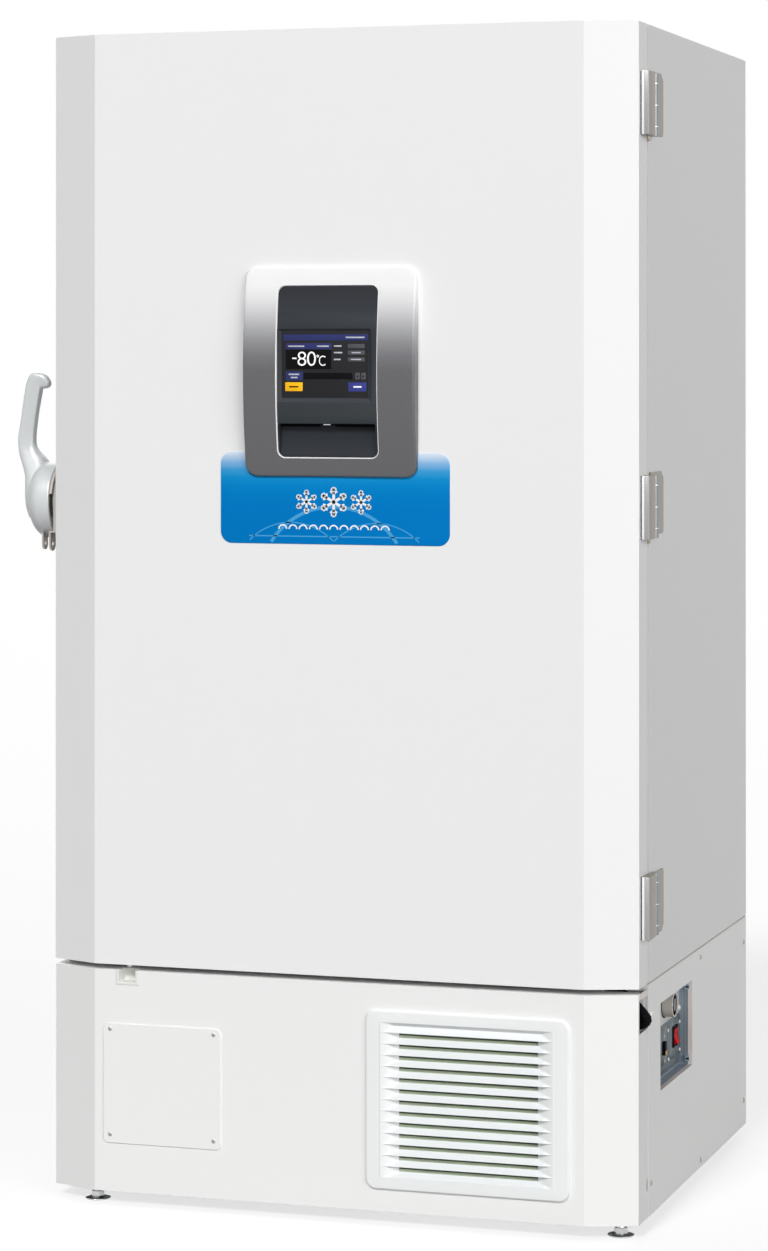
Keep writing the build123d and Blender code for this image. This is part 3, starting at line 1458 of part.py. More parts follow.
# Dark panel inside the surround: screen bezel above, hand pocket below
panel_set_back = 1.0
panel_gap = 0.4
screen_left_distance = 7.2
screen_left = window_left + screen_left_distance
screen_width = 151.5
screen_low = 1374.0
screen_height = 110.0
screen_thick = 1.5
screen_sink = 7.0  # screen's face behind the arch's crest
bezel_rim = 1.5
bezel_slope = 45.0
pocket_side = 2.5
pocket_floor_low = 1278.0
pocket_ceiling = 1331.0
pocket_lip = 3.0
pocket_wall = 3.0
screen_right = screen_left + screen_width
screen_high = screen_low + screen_height
screen_face_y = front_y - arch_rise + panel_set_back + screen_sink
with BuildPart() as control_panel:
    arch_prism(
        surround_left, surround_right, surround_low, surround_high,
        surround_edge - panel_set_back, arch_rise - panel_set_back,
    )
    plate_xz(
        window_left + panel_gap, window_right - panel_gap,
        window_low + panel_gap, window_high - panel_gap,
        front_y - arch_rise - overrun, arch_rise + 2 * overrun, window_corner - panel_gap,
        Mode.INTERSECT,
    )
    with BuildSketch(Plane.XZ.offset(-screen_face_y)) as screen_hole:
        with Locations(((screen_left + screen_right) / 2, (screen_low + screen_high) / 2)):
            Rectangle(screen_width + 2 * bezel_rim, screen_height + 2 * bezel_rim)
    extrude(screen_hole.sketch, amount=screen_sink + overrun, taper=-bezel_slope, mode=Mode.SUBTRACT)
    slab(
        screen_left, screen_right, screen_face_y, screen_face_y + screen_thick,
        screen_low, screen_high, Mode.SUBTRACT,
    )
    with BuildSketch(Plane.YZ.offset(window_left + panel_gap + pocket_side)) as pocket:
        with BuildLine():
            Polyline(
                (front_y - arch_rise - overrun, pocket_floor_low),
                (front_y - surround_edge - pocket_lip, pocket_floor_low),
                (front_y - pocket_wall, pocket_ceiling - pocket_lip),
                (front_y - pocket_wall, pocket_ceiling),
                (front_y - arch_rise - overrun, pocket_ceiling),
                (front_y - arch_rise - overrun, pocket_floor_low),
            )
        make_face()
    extrude(
        pocket.sketch, amount=window_width - 2 * (panel_gap + pocket_side), mode=Mode.SUBTRACT,
    )
finish(control_panel, "control_panel")

with BuildPart() as display_screen:
    slab(
        screen_left, screen_right, screen_face_y, screen_face_y + screen_thick,
        screen_low, screen_high,
    )
finish(display_screen, "display_screen")

data_port_width = 13.0
data_port_depth = 7.0
data_port_drop = 2.0
data_port_wall = 0.8
data_port_set_back = 8.0  # behind the crest
with BuildPart() as data_port:
    port_mid_x = (window_left + window_right) / 2
    port_face_y = front_y - arch_rise + data_port_set_back
    slab(
        port_mid_x - data_port_width / 2, port_mid_x + data_port_width / 2,
        port_face_y, port_face_y + data_port_depth, pocket_ceiling - data_port_drop, pocket_ceiling,
    )
    slab(
        port_mid_x - data_port_width / 2 + data_port_wall,
        port_mid_x + data_port_width / 2 - data_port_wall,
        port_face_y + data_port_wall, port_face_y + data_port_depth - data_port_wall,
        pocket_ceiling - data_port_drop - overrun, pocket_ceiling - data_port_wall, Mode.SUBTRACT,
    )
finish(data_port, "data_port")

# Latch on the left: base on the door, strike on the cabinet, lever and claw between them
pivot_set_back = 110.0  # behind the door's front
pivot_z = 1193.0
pivot_y = front_y + pivot_set_back
base_pad = 2.5
base_plate = 8.5
base_front = 36.0  # behind the door's front
base_half = 56.0
base_disc = 60.0
base_disc_cut = 14.0
base_boss = 14.0
base_boss_length = 1.0
shaft_radius = 7.0
padlock_hole = 4.5
tab_distance = 59.0
tab_y = front_y + tab_distance
tab_z = 1119.0
tab_half = 12.0
tab_thick = 3.0
tab_top = 1142.0
base_tab_out = 19.0
lever_tab_out = 36.0
pad_x = left_x - base_pad
plate_x = pad_x - base_plate
boss_x = plate_x - base_boss_length
with BuildPart() as latch_base:
    slab(pad_x, left_x, front_y + base_front, door_back_y, pivot_z - base_half, pivot_z + base_half)
    rod_x(plate_x, pad_x, pivot_y, pivot_z, base_disc)
    slab(
        plate_x - overrun, pad_x, pivot_y + base_disc_cut, pivot_y + base_disc + overrun,
        pivot_z - base_disc - overrun, pivot_z + base_disc + overrun, Mode.SUBTRACT,
    )
    rod_x(boss_x, plate_x, pivot_y, pivot_z, base_boss)
    rod_x(boss_x - overrun, left_x + overrun, pivot_y, pivot_z, shaft_radius + fit_gap, Mode.SUBTRACT)
    slab(
        left_x - base_tab_out, pad_x, tab_y - tab_half, tab_y + tab_half,
        tab_top - tab_thick, tab_top,
    )
    slab(
        plate_x, pad_x, tab_y - tab_half, tab_y + tab_half, tab_top - tab_thick, pivot_z - tab_half,
    )
    slab(
        left_x - base_tab_out, left_x - base_tab_out + tab_thick,
        tab_y - tab_half, tab_y + tab_half, tab_z, tab_top,
    )
    rod_x(left_x - base_tab_out, left_x - base_tab_out + tab_thick, tab_y, tab_z, tab_half)
    rod_x(
        left_x - base_tab_out - overrun, left_x - base_tab_out + tab_thick + overrun,
        tab_y, tab_z, padlock_hole, Mode.SUBTRACT,
    )
finish(latch_base, "latch_base")

# Strike: a stout pin on a plate, caught by the claw
strike_distance = 34.0
strike_angle = -10.0
strike_pin = 4.0
strike_plate_thick = 3.0
strike_plate_half_y = 13.0
strike_plate_half_z = 34.0
claw_gap = 0.6
claw_wall = 8.0
claw_thick = 7.0
claw_shift = 0.8  # outside the base's boss
claw_from = -30.0
claw_to = 50.0
claw_hub = 20.0
claw_arm_from = 24.0
strike_y = pivot_y + strike_distance * cos(radians(strike_angle))
strike_z = pivot_z + strike_distance * sin(radians(strike_angle))
claw_x = boss_x - claw_shift
claw_in = strike_distance + strike_pin + claw_gap
claw_out = claw_in + claw_wall
with BuildPart() as strike_plate:
    slab(
        left_x - strike_plate_thick, left_x, strike_y - strike_plate_half_y,
        strike_y + strike_plate_half_y, strike_z - strike_plate_half_z, strike_z + strike_plate_half_z,
    )
    fillet(strike_plate.edges().filter_by(Axis.X), radius=strike_plate_half_y / 3)
    rod_x(claw_x - claw_thick, left_x - strike_plate_thick, strike_y, strike_z, strike_pin)
finish(strike_plate, "strike_plate")


def spoke(radius, angle):
    return (pivot_y + radius * cos(radians(angle)), pivot_z + radius * sin(radians(angle)))


with BuildPart() as latch_hook:
    rod_x(claw_x - claw_thick, claw_x, pivot_y, pivot_z, claw_hub)
    with BuildSketch(Plane.YZ.offset(claw_x - claw_thick)) as claw:
        with BuildLine():
            claw_mid = (claw_from + claw_to) / 2
            Line(spoke(claw_in, claw_from), spoke(claw_out, claw_from))
            ThreePointArc(spoke(claw_out, claw_from), spoke(claw_out, claw_mid), spoke(claw_out, claw_to))
            Line(spoke(claw_out, claw_to), spoke(claw_hub * 0.8, claw_to + claw_arm_from))
            Line(spoke(claw_hub * 0.8, claw_to + claw_arm_from), spoke(claw_hub * 0.8, claw_arm_from))
            Line(spoke(claw_hub * 0.8, claw_arm_from), spoke(claw_in, claw_arm_from))
            ThreePointArc(
                spoke(claw_in, claw_arm_from), spoke(claw_in, (claw_from + claw_arm_from) / 2),
                spoke(claw_in, claw_from),
            )
        make_face()
    extrude(claw.sketch, amount=claw_thick)
    rod_x(claw_x, pad_x - seat_gap, pivot_y, pivot_z, shaft_radius)
finish(latch_hook, "latch_hook")

# Lever: a cast cup over the base, with a cranked grip that turns in at its end
cup_radius = 66.0
cup_rim_out = 20.5  # from the cabinet's side to the cup's open rim
cup_wall_out = 36.0
cup_cap_out = 70.0
cup_cap_radius = 30.0
cup_turns = (0, 25, 48, 70, 90)  # places on the cup's round, in degrees
cup_bore = 58.0
cup_bore_out = 34.0
grip_end_height = 223.0  # above the pivot
grip_half = 10.0
grip_round = 6.0
# For each section: height, outer and inner edge out from the side, and half depth, as shares
grip_shares = (
    (0.09, 0.80, 0.40, 3.1),
    (0.20, 0.84, 0.42, 2.9),
    (0.29, 0.915, 0.46, 2.1),
    (0.368, 0.98, 0.59, 1.35),
    (0.453, 1.0, 0.695, 1.05),
    (0.605, 0.96, 0.683, 1.0),
    (0.74, 0.91, 0.63, 1.0),
    (0.892, 0.861, 0.57, 1.0),
)
end_outline_shares = (
    (0.861, 0.892), (0.832, 0.951), (0.787, 0.982), (0.713, 1.0), (0.594, 1.0), (0.535, 0.975),
    (0.436, 0.926), (0.421, 0.899), (0.455, 0.874), (0.52, 0.866), (0.569, 0.868),
)
rim_x = left_x - cup_rim_out
wall_x = left_x - cup_wall_out
cap_x = left_x - cup_cap_out
cup_points = [
    (
        wall_x - (wall_x - cap_x) * sin(radians(turn)),
        pivot_y - cup_cap_radius - (cup_radius - cup_cap_radius) * cos(radians(turn)) ** 0.7,
    )
    for turn in cup_turns
]
with BuildPart() as latch_lever:
    with BuildSketch(Plane.XY.offset(pivot_z)) as cup:
        with BuildLine():
            Line((rim_x, pivot_y), (rim_x, pivot_y - cup_radius))
            Line((rim_x, pivot_y - cup_radius), (wall_x, pivot_y - cup_radius))
            Polyline(*cup_points)
            Line((cap_x, pivot_y - cup_cap_radius), (cap_x, pivot_y))
            Line((cap_x, pivot_y), (rim_x, pivot_y))
        make_face()
    revolve(cup.sketch, axis=Axis((0, pivot_y, pivot_z), (1, 0, 0)))
    sections = []
    for height_share, outer_share, inner_share, depth_share in grip_shares:
        outer_x = left_x - lever_reach * outer_share
        inner_x = left_x - lever_reach * inner_share
        with BuildSketch(Plane.XY.offset(pivot_z + grip_end_height * height_share)) as grip:
            with Locations(((outer_x + inner_x) / 2, pivot_y)):
                Rectangle(inner_x - outer_x, 2 * grip_half * depth_share)
            chamfer(grip.vertices(), length=grip_round * 0.6)
        sections.append(grip.sketch)
    loft(sections=sections, ruled=True)
    with BuildSketch(Plane.XZ.offset(-(pivot_y + grip_half * 0.96))) as grip_end:
        with BuildLine():
            end_points = [
                (left_x - lever_reach * out_share, pivot_z + grip_end_height * up_share)
                for out_share, up_share in end_outline_shares
            ]
            Polyline(*end_points, end_points[0])
        make_face()
    extrude(grip_end.sketch, amount=2 * grip_half * 0.96)
    rod_x(
        left_x - cup_bore_out, rim_x + overrun, pivot_y, pivot_z, cup_bore, Mode.SUBTRACT,
    )
    rod_x(left_x - cup_bore_out, claw_x - claw_thick, pivot_y, pivot_z, claw_hub * 0.7)
    slab(
        left_x - lever_tab_out, left_x - lever_tab_out + tab_thick,
        tab_y - tab_half, tab_y + tab_half, tab_z, pivot_z - cup_radius * 0.5,
    )
    rod_x(
        left_x - lever_tab_out, left_x - lever_tab_out + tab_thick, tab_y, tab_z, tab_half,
    )
    rod_x(
        left_x - lever_tab_out - overrun, left_x - lever_tab_out + tab_thick + overrun,
        tab_y, tab_z, padlock_hole, Mode.SUBTRACT,
    )
finish(latch_lever, "latch_lever")
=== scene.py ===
import json
from math import cos, pi, radians, sin

import bmesh
import bpy
import numpy as np
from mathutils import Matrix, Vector


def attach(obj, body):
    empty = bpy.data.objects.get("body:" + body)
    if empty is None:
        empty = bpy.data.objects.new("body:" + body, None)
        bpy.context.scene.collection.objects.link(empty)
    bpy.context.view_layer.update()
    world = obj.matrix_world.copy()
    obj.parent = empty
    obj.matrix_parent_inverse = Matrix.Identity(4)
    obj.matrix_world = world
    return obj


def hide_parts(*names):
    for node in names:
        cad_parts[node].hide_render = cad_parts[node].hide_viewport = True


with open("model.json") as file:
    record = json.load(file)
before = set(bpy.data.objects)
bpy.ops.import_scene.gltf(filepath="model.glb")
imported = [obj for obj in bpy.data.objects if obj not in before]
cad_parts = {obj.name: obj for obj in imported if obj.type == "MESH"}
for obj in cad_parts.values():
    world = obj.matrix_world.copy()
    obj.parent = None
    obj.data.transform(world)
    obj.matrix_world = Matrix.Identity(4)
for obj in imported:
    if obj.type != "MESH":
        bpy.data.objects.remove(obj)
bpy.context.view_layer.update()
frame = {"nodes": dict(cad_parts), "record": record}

# Sizes shared by all pieces, in metres: -Y is the front, +X the hinge side
cabinet = dict(
    left=-0.472, right=0.558, front=-0.441, back=0.441, height=1.993, middle=0.043, doorLow=0.408,
    doorDeep=0.092, shellBehind=0.098,
)
left, right, front, back = cabinet["left"], cabinet["right"], cabinet["front"], cabinet["back"]
middle = cabinet["middle"]
doorBack = front + cabinet["doorDeep"]
cabinetFront = front + cabinet["shellBehind"]
linkObject = bpy.context.scene.collection.objects.link

# Camera: its place, how far it leans and turns in radians, its lens and the shift of its picture
cameraSizes = dict(
    aside=1.91045, away=6.24873, height=1.43843, lean=0.0045, turn=0.3146, lens=105.25,
    shiftX=0.0307, shiftY=-0.2259, far=60,
)
camera = bpy.data.objects.new("camera", bpy.data.cameras.new("camera"))
linkObject(camera)
camera.location = (cameraSizes["aside"] + middle, -cameraSizes["away"], cameraSizes["height"])
camera.rotation_euler = (pi / 2 + cameraSizes["lean"], 0, cameraSizes["turn"])
camera.data.lens = cameraSizes["lens"]
camera.data.shift_x = cameraSizes["shiftX"]
camera.data.shift_y = cameraSizes["shiftY"]
camera.data.clip_end = cameraSizes["far"]
bpy.context.scene.camera = camera
bpy.context.scene.view_settings.view_transform = "Standard"

# Lights: azimuth in degrees to the right of the front, height above the floor, strength and softness
lights = {
    "leftHigh": dict(azimuth=-4, elevation=42, strength=1.89, softness=12),
    "rightSoft": dict(azimuth=50, elevation=12, strength=1.90, softness=50),
    "rearSoft": dict(azimuth=205, elevation=14, strength=0.90, softness=50),
}
lampDistance = 8


def sunLight(name, azimuth, elevation, strength, softness):
    # a sun that shines to the middle from (sin a cos e, -cos a cos e, sin e), a and e its two angles
    data = bpy.data.lights.new(name, "SUN")
    data.energy = strength
    data.angle = radians(softness)
    lamp = bpy.data.objects.new(name, data)
    linkObject(lamp)
    turn, rise = radians(azimuth), radians(elevation)
    towards = Vector((sin(turn) * cos(rise), -cos(turn) * cos(rise), sin(rise)))
    lamp.location = towards * lampDistance
    lamp.rotation_euler = (-towards).to_track_quat("-Z", "Y").to_euler()


for name, values in lights.items():
    sunLight(name, **values)


def mathNode(nodes, links, operation, first, second):
    # one operation on two sockets, the second one a socket or a number
    node = nodes.new("ShaderNodeMath")
    node.operation = operation
    links.new(first, node.inputs[0])
    if isinstance(second, float):
        node.inputs[1].default_value = second
    else:
        links.new(second, node.inputs[1])
    return node.outputs[0]


worldValues = dict(tint=(0.97, 0.98, 1.0, 1), strength=0.07)


def worldNodes(values):
    # pale light all round; white to the eye, to gloss and through glass, by the largest of three ray kinds
    world = bpy.data.worlds.new("studio")
    bpy.context.scene.world = world
    world.use_nodes = True
    nodes, links = world.node_tree.nodes, world.node_tree.links
    nodes.clear()
    output = nodes.new("ShaderNodeOutputWorld")
    mix = nodes.new("ShaderNodeMixShader")
    shades = ((values["tint"], values["strength"]), ((1, 1, 1, 1), 1.0))
    for i, (color, strength) in enumerate(shades):
        background = nodes.new("ShaderNodeBackground")
        background.inputs["Color"].default_value = color
        background.inputs["Strength"].default_value = strength
        links.new(background.outputs[0], mix.inputs[i + 1])
    rays = nodes.new("ShaderNodeLightPath").outputs
    either = mathNode(nodes, links, "MAXIMUM", rays["Is Camera Ray"], rays["Is Glossy Ray"])
    each = mathNode(nodes, links, "MAXIMUM", either, rays["Is Transmission Ray"])
    links.new(each, mix.inputs["Fac"])
    links.new(mix.outputs[0], output.inputs["Surface"])


worldNodes(worldValues)


# Materials
def nodeMaterial(name):
    # a new material with its nodes, links and shader
    material = bpy.data.materials.new(name)
    material.use_nodes = True
    shader = material.node_tree.nodes["Principled BSDF"]
    return material, material.node_tree.nodes, material.node_tree.links, shader


def colorOf(code):
    # a written colour such as F4F4F2 as linear light: ((p + 0.055) / 1.055) to the power 2.4, p / 12.92 below
    parts = [int(code[i:i + 2], 16) / 255 for i in (0, 2, 4)]
    return tuple(((p + 0.055) / 1.055) ** 2.4 if p > 0.04045 else p / 12.92 for p in parts) + (1,)


# Noise: detail of the fine and the broad one, the broad one's scale, depth of the relief, least roughness,
# then grain, relief and spread of the fading paints
noise = dict(
    fine=3, broad=4, broadScale=7, relief=0.0002, least=0.02, fadeGrain=1100, fadeBump=0.03, fadeSpread=0.04,
)


def grainNodes(nodes, links, shader, grain, roughness, bump, spread=0.06, stretch=(1, 1, 1)):
    # fine noise in object coordinates: gloss = roughness -/+ spread, and a faint relief of the same noise
    place = nodes.new("ShaderNodeTexCoord")
    mapping = nodes.new("ShaderNodeMapping")
    mapping.inputs["Scale"].default_value = stretch
    links.new(place.outputs["Object"], mapping.inputs["Vector"])
    fine = nodes.new("ShaderNodeTexNoise")
    fine.inputs["Scale"].default_value = grain
    fine.inputs["Detail"].default_value = noise["fine"]
    links.new(mapping.outputs[0], fine.inputs["Vector"])
    gloss = nodes.new("ShaderNodeMapRange")
    gloss.inputs["To Min"].default_value = max(noise["least"], roughness - spread)
    gloss.inputs["To Max"].default_value = min(1, roughness + spread)
    links.new(fine.outputs["Fac"], gloss.inputs["Value"])
    links.new(gloss.outputs["Result"], shader.inputs["Roughness"])
    relief = nodes.new("ShaderNodeBump")
    relief.inputs["Strength"].default_value = bump
    relief.inputs["Distance"].default_value = noise["relief"]
    links.new(fine.outputs["Fac"], relief.inputs["Height"])
    links.new(relief.outputs["Normal"], shader.inputs["Normal"])
    return mapping


def finishMaterial(
    name, color, roughness, metallic=0.0, grain=900, bump=0.05, mottle=0.03, stretch=(1, 1, 1), coat=0.0,
    glow=0.0, specular=0.5,
):
    # one colour times 1 -/+ mottle over broad noise, its gloss and grain from the fine noise
    material, nodes, links, shader = nodeMaterial(name)
    mapping = grainNodes(nodes, links, shader, grain, roughness, bump, stretch=stretch)
    broad = nodes.new("ShaderNodeTexNoise")
    broad.inputs["Scale"].default_value = noise["broadScale"]
    broad.inputs["Detail"].default_value = noise["broad"]
    links.new(mapping.outputs[0], broad.inputs["Vector"])
    shade = nodes.new("ShaderNodeMix")
    shade.data_type = "RGBA"
    tone = colorOf(color)
    shade.inputs["A"].default_value = tuple(c * (1 - mottle) for c in tone[:3]) + (1,)
    shade.inputs["B"].default_value = tuple(min(1, c * (1 + mottle)) for c in tone[:3]) + (1,)
    links.new(broad.outputs["Fac"], shade.inputs["Factor"])
    links.new(shade.outputs["Result"], shader.inputs["Base Color"])
    shader.inputs["Metallic"].default_value = metallic
    shader.inputs["Coat Weight"].default_value = coat
    shader.inputs["Specular IOR Level"].default_value = specular
    if glow:
        links.new(shade.outputs["Result"], shader.inputs["Emission Color"])
        shader.inputs["Emission Strength"].default_value = glow
    return material


def fadeMaterial(name, stops, roughness, specular, coat=0.0):
    # a paint whose colour is read off a ramp at (height - lowest) / (highest - lowest)
    material, nodes, links, shader = nodeMaterial(name)
    mapping = grainNodes(
        nodes, links, shader, noise["fadeGrain"], roughness, noise["fadeBump"], noise["fadeSpread"]
    )
    axes = nodes.new("ShaderNodeSeparateXYZ")
    links.new(mapping.outputs[0], axes.inputs[0])
    low, high = stops[0][0], stops[-1][0]
    share = nodes.new("ShaderNodeMapRange")
    share.inputs["From Min"].default_value = low
    share.inputs["From Max"].default_value = high
    links.new(axes.outputs["Z"], share.inputs["Value"])
    ramp = nodes.new("ShaderNodeValToRGB")
    for i, (height, color) in enumerate(stops):
        place = (height - low) / (high - low)
        if i in (0, len(stops) - 1):
            stop = ramp.color_ramp.elements[0 if i == 0 else -1]
            stop.position = place
        else:
            stop = ramp.color_ramp.elements.new(place)
        stop.color = colorOf(color)
    links.new(share.outputs["Result"], ramp.inputs["Fac"])
    links.new(ramp.outputs["Color"], shader.inputs["Base Color"])
    shader.inputs["Coat Weight"].default_value = coat
    shader.inputs["Specular IOR Level"].default_value = specular
    return material


# Values that several finishes share
paint = dict(grain=650, mottle=0.004)
upright = dict(grain=420, stretch=(1, 1, 0.08))
level = dict(grain=520, bump=0.12, stretch=(1, 0.2, 1), roughness=0.42, metallic=0.2)
glass = dict(bump=0.01, mottle=0.01, specular=0.1)
calm = dict(bump=0.03, mottle=0.004)

# One line for each finish: colour, roughness, metal, then grain size and the rest
finishes = {
    "doorPaint": dict(color="F2F2F2", roughness=0.45, **paint),
    # the cabinet's white a little darker than the door's: painted shade so that its side reads darker
    "cabinetPaint": dict(color="EBEBEB", roughness=0.48, **paint),
    "basePaint": dict(color="F3F3F2", roughness=0.45, **paint),
    "zinc": dict(color="C6C8C7", roughness=0.24, metallic=1.0, grain=380, bump=0.10, mottle=0.12),
    "brushed": dict(
        color="B9BBBC", roughness=0.34, metallic=1.0, grain=500, bump=0.12, mottle=0.05, stretch=(0.05, 1, 1),
    ),
    "hingeSatin": dict(color="8A8277", roughness=0.36, metallic=0.6, bump=0.08, mottle=0.04, **upright),
    # the cover's front painted pale as lit, and a bright white that the washers take and that paints a
    # highlight on the cover's edge
    "hingePale": dict(color="A6A6A7", roughness=0.38, metallic=0.35, mottle=0.02, **upright),
    "hingeBright": dict(color="F2F3F5", roughness=0.22, metallic=0.6, bump=0.04, mottle=0.02, **upright),
    "knuckleGrey": dict(color="8D9295", roughness=0.36, metallic=0.5, **upright),
    "hingeShade": dict(color="2E2D2C", roughness=0.4, metallic=0.4, grain=700, mottle=0.04),
    "leverSilver": dict(
        color="DBDEDF", roughness=0.36, metallic=0.15, grain=1500, bump=0.04, mottle=0.02, specular=0.25,
    ),
    "basePale": dict(color="D3CCC8", roughness=0.40, metallic=0.2, grain=700),
    "latchPlate": dict(color="B7B2AC", roughness=0.30, metallic=1.0, grain=700, bump=0.08, mottle=0.06),
    "slotBlack": dict(color="0F0F12", roughness=0.6, grain=1400, bump=0.08, specular=0.0),
    "edgeWhite": dict(color="F6F6F6", roughness=0.25, bump=0.02, mottle=0.01, coat=0.3),
    "gasketRubber": dict(color="E9DBD8", roughness=0.62, grain=500, bump=0.15),
    "foamBlock": dict(color="E9DFC0", roughness=0.9, grain=220, bump=0.6, mottle=0.06),
    "moulded": dict(color="EDEDEA", roughness=0.48, bump=0.06, mottle=0.01),
    "grilleWhite": dict(color="F3F4F4", roughness=0.42, **calm),
    # the louvres' slopes a little darker than the grille's white of the same moulding: painted shade
    "louvreWhite": dict(color="E8EBEC", roughness=0.45, **calm),
    # the band under each slot: the filter mat's green seen through the slot, painted lighter as lit
    "slotGreen": dict(color="C4D0B4", roughness=0.7, grain=1600, bump=0.2, mottle=0.05, specular=0.2),
    "seamShade": dict(color="B8AEA1", roughness=0.6, bump=0.03),
    "cupPlastic": dict(color="EAEAE6", roughness=0.45, bump=0.06, mottle=0.02),
    "recessSteel": dict(color="93A0AC", mottle=0.06, **level),
    "recessPlate": dict(color="6B767B", mottle=0.05, **level),
    "recessPale": dict(color="C6C7C5", roughness=0.40, metallic=0.1, grain=620, bump=0.08, mottle=0.04),
    # the recess's lip and the notch's edge: a white flange painted beige and brighter, painted reflected
    # light
    "lipBeige": dict(color="F0E6E2", roughness=0.5, grain=650, mottle=0.02),
    "hookBlue": dict(color="A9BCCB", roughness=0.35, metallic=0.3, grain=700, mottle=0.04),
    "portGrey": dict(color="B7B2A9", roughness=0.42, grain=800, bump=0.08, mottle=0.04),
    "blackPlastic": dict(color="0E0E11", roughness=0.6, bump=0.15, mottle=0.06, specular=0.04),
    "rockerRed": dict(color="C80A1A", roughness=0.42, grain=700, bump=0.03, specular=0.05),
    "buttonYellow": dict(color="C79A1C", roughness=0.40, grain=700, bump=0.03),
    "tyreGrey": dict(color="3A3B3D", roughness=0.7, grain=420, bump=0.3, mottle=0.08),
    "machineBlack": dict(color="1B1C1E", roughness=0.36, grain=500, bump=0.12, mottle=0.06),
    "finMetal": dict(
        color="A8AAAA", roughness=0.4, metallic=0.9, grain=700, bump=0.2, mottle=0.06, stretch=(1, 1, 0.05),
    ),
    "fanPlastic": dict(color="26272A", roughness=0.5, grain=700, bump=0.12, mottle=0.05),
    "screwMetal": dict(color="A9A7A2", roughness=0.38, metallic=1.0, grain=600, mottle=0.06),
    "screwCream": dict(color="F1EFE9", roughness=0.3, metallic=0.1, grain=600, bump=0.03),
    "pinBrass": dict(color="A79C88", roughness=0.35, metallic=1.0, grain=600, mottle=0.06),
    "filterMat": dict(color="7D8F70", roughness=0.85, grain=1600, bump=0.7, mottle=0.15),
    "screenBack": dict(color="2A2A2D", roughness=0.16, glow=0.05, **glass),
    "screenBlack": dict(color="060608", roughness=0.14, **glass),
    "screenNavy": dict(color="2F3568", roughness=0.16, glow=0.18, **glass),
    "screenGrey": dict(color="55565A", roughness=0.18, glow=0.08, **glass),
    "screenPale": dict(color="B9BCC6", roughness=0.18, glow=0.15, **glass),
    "screenWhite": dict(color="F4F5F6", roughness=0.18, glow=0.3, **glass),
    "screenYellow": dict(color="EFB31C", roughness=0.18, glow=0.25, **glass),
    "screenBlue": dict(color="3A4188", roughness=0.18, glow=0.2, **glass),
    "printWhite": dict(color="F4F7FA", roughness=0.35, bump=0.02, mottle=0.01),
    "printPale": dict(color="3F9FD8", roughness=0.35, bump=0.02, mottle=0.01),
}
materials = {name: finishMaterial(name, **values) for name, values in finishes.items()}
# Colours over the height in metres
fades = {
    # Surround: grey at the bottom to white at the top, painted reflection on its curved face: the bright
    # light above at the top, the darker floor at the bottom
    "surroundFade": dict(
        stops=(
            (1.400, "666668"), (1.419, "67676A"), (1.443, "76767A"), (1.467, "909092"),
            (1.490, "AEAEB0"), (1.514, "CDCDCF"), (1.538, "E6E6E7"), (1.562, "F4F4F4"), (1.594, "F6F6F6"),
        ),
        roughness=0.28, coat=0.1, specular=0.3,
    ),
    "darkPanel": dict(
        stops=(
            (1.275, "34363B"), (1.300, "2E3237"), (1.322, "26292E"), (1.334, "34393D"), (1.345, "3A3F41"),
            (1.372, "3F4247"), (1.440, "35383D"), (1.486, "32353A"), (1.505, "3A3D41"), (1.530, "33363B"),
            (1.561, "2D2E33"),
        ),
        roughness=0.4, specular=0.12,
    ),
    "blueFade": dict(
        stops=(
            (1.190, "007BC7"), (1.213, "0080C9"), (1.227, "0586CC"), (1.240, "128FD1"),
            (1.253, "3F9FD8"), (1.266, "8ABAE4"), (1.280, "D4E3F3"), (1.283, "DCE8F5"),
        ),
        roughness=0.5, specular=0.05,
    ),
}
for name, values in fades.items():
    materials[name] = fadeMaterial(name, **values)

# The finish of each of the record's slots
slotFinish = {
    "cabinet_steel": "cabinetPaint", "door_steel": "doorPaint", "base_steel": "basePaint",
    "zinc_steel": "zinc", "liner_steel": "brushed", "hinge_metal": "hingeSatin",
    "lever_metal": "leverSilver", "latch_metal": "latchPlate", "surround_plastic": "surroundFade",
    "dark_plastic": "darkPanel", "screen_glass": "screenBack", "blue_film": "blueFade",
    "gasket_rubber": "gasketRubber", "foam": "foamBlock", "breaker_plastic": "moulded",
    "grille_plastic": "grilleWhite", "filter_mat": "filterMat", "cup_plastic": "cupPlastic",
    "recess_metal": "recessSteel", "port_plastic": "portGrey", "black_plastic": "blackPlastic",
    "rocker_red": "rockerRed", "tyre_rubber": "tyreGrey", "machine_black": "machineBlack",
    "fin_metal": "finMetal", "fan_plastic": "fanPlastic",
}
slotOf = {part["node"]: part["material_slot"] for part in frame["record"]["subparts"]}
bodyOf = {
    node: body for body, members in frame["record"]["behaviour"]["bodies"].items() for node in members
}
for node, cadObject in frame["nodes"].items():
    finish = materials[slotFinish[slotOf[node]]]
    if cadObject.material_slots:
        for materialSlot in cadObject.material_slots:
            materialSlot.material = finish
    else:
        cadObject.data.materials.append(finish)
print("materials set")


# Making pieces
def addPiece(name, mesh, material, node, replaced=()):
    # links a finished mesh as a piece that rides with a node's body and takes the finishes it is given
    piece = bpy.data.objects.new(name, mesh)
    linkObject(piece)
    for one in material if isinstance(material, (list, tuple)) else (material,):
        mesh.materials.append(materials[one])
    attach(piece, bodyOf[node])
    if replaced:
        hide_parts(*replaced)
    return piece


def smoothMesh(mesh, angle=35):
    # smooth shading, with a crease wherever two faces turn by more than angle
    mesh.polygons.foreach_set("use_smooth", [True] * len(mesh.polygons))
    mesh.set_sharp_from_angle(angle=radians(angle))
    return mesh


# Degrees under which the triangles of a plane count as one; how near points are merged, made and copied ones
flatTurn, merging, mergingCopy = 0.3, 1e-6, 2e-6


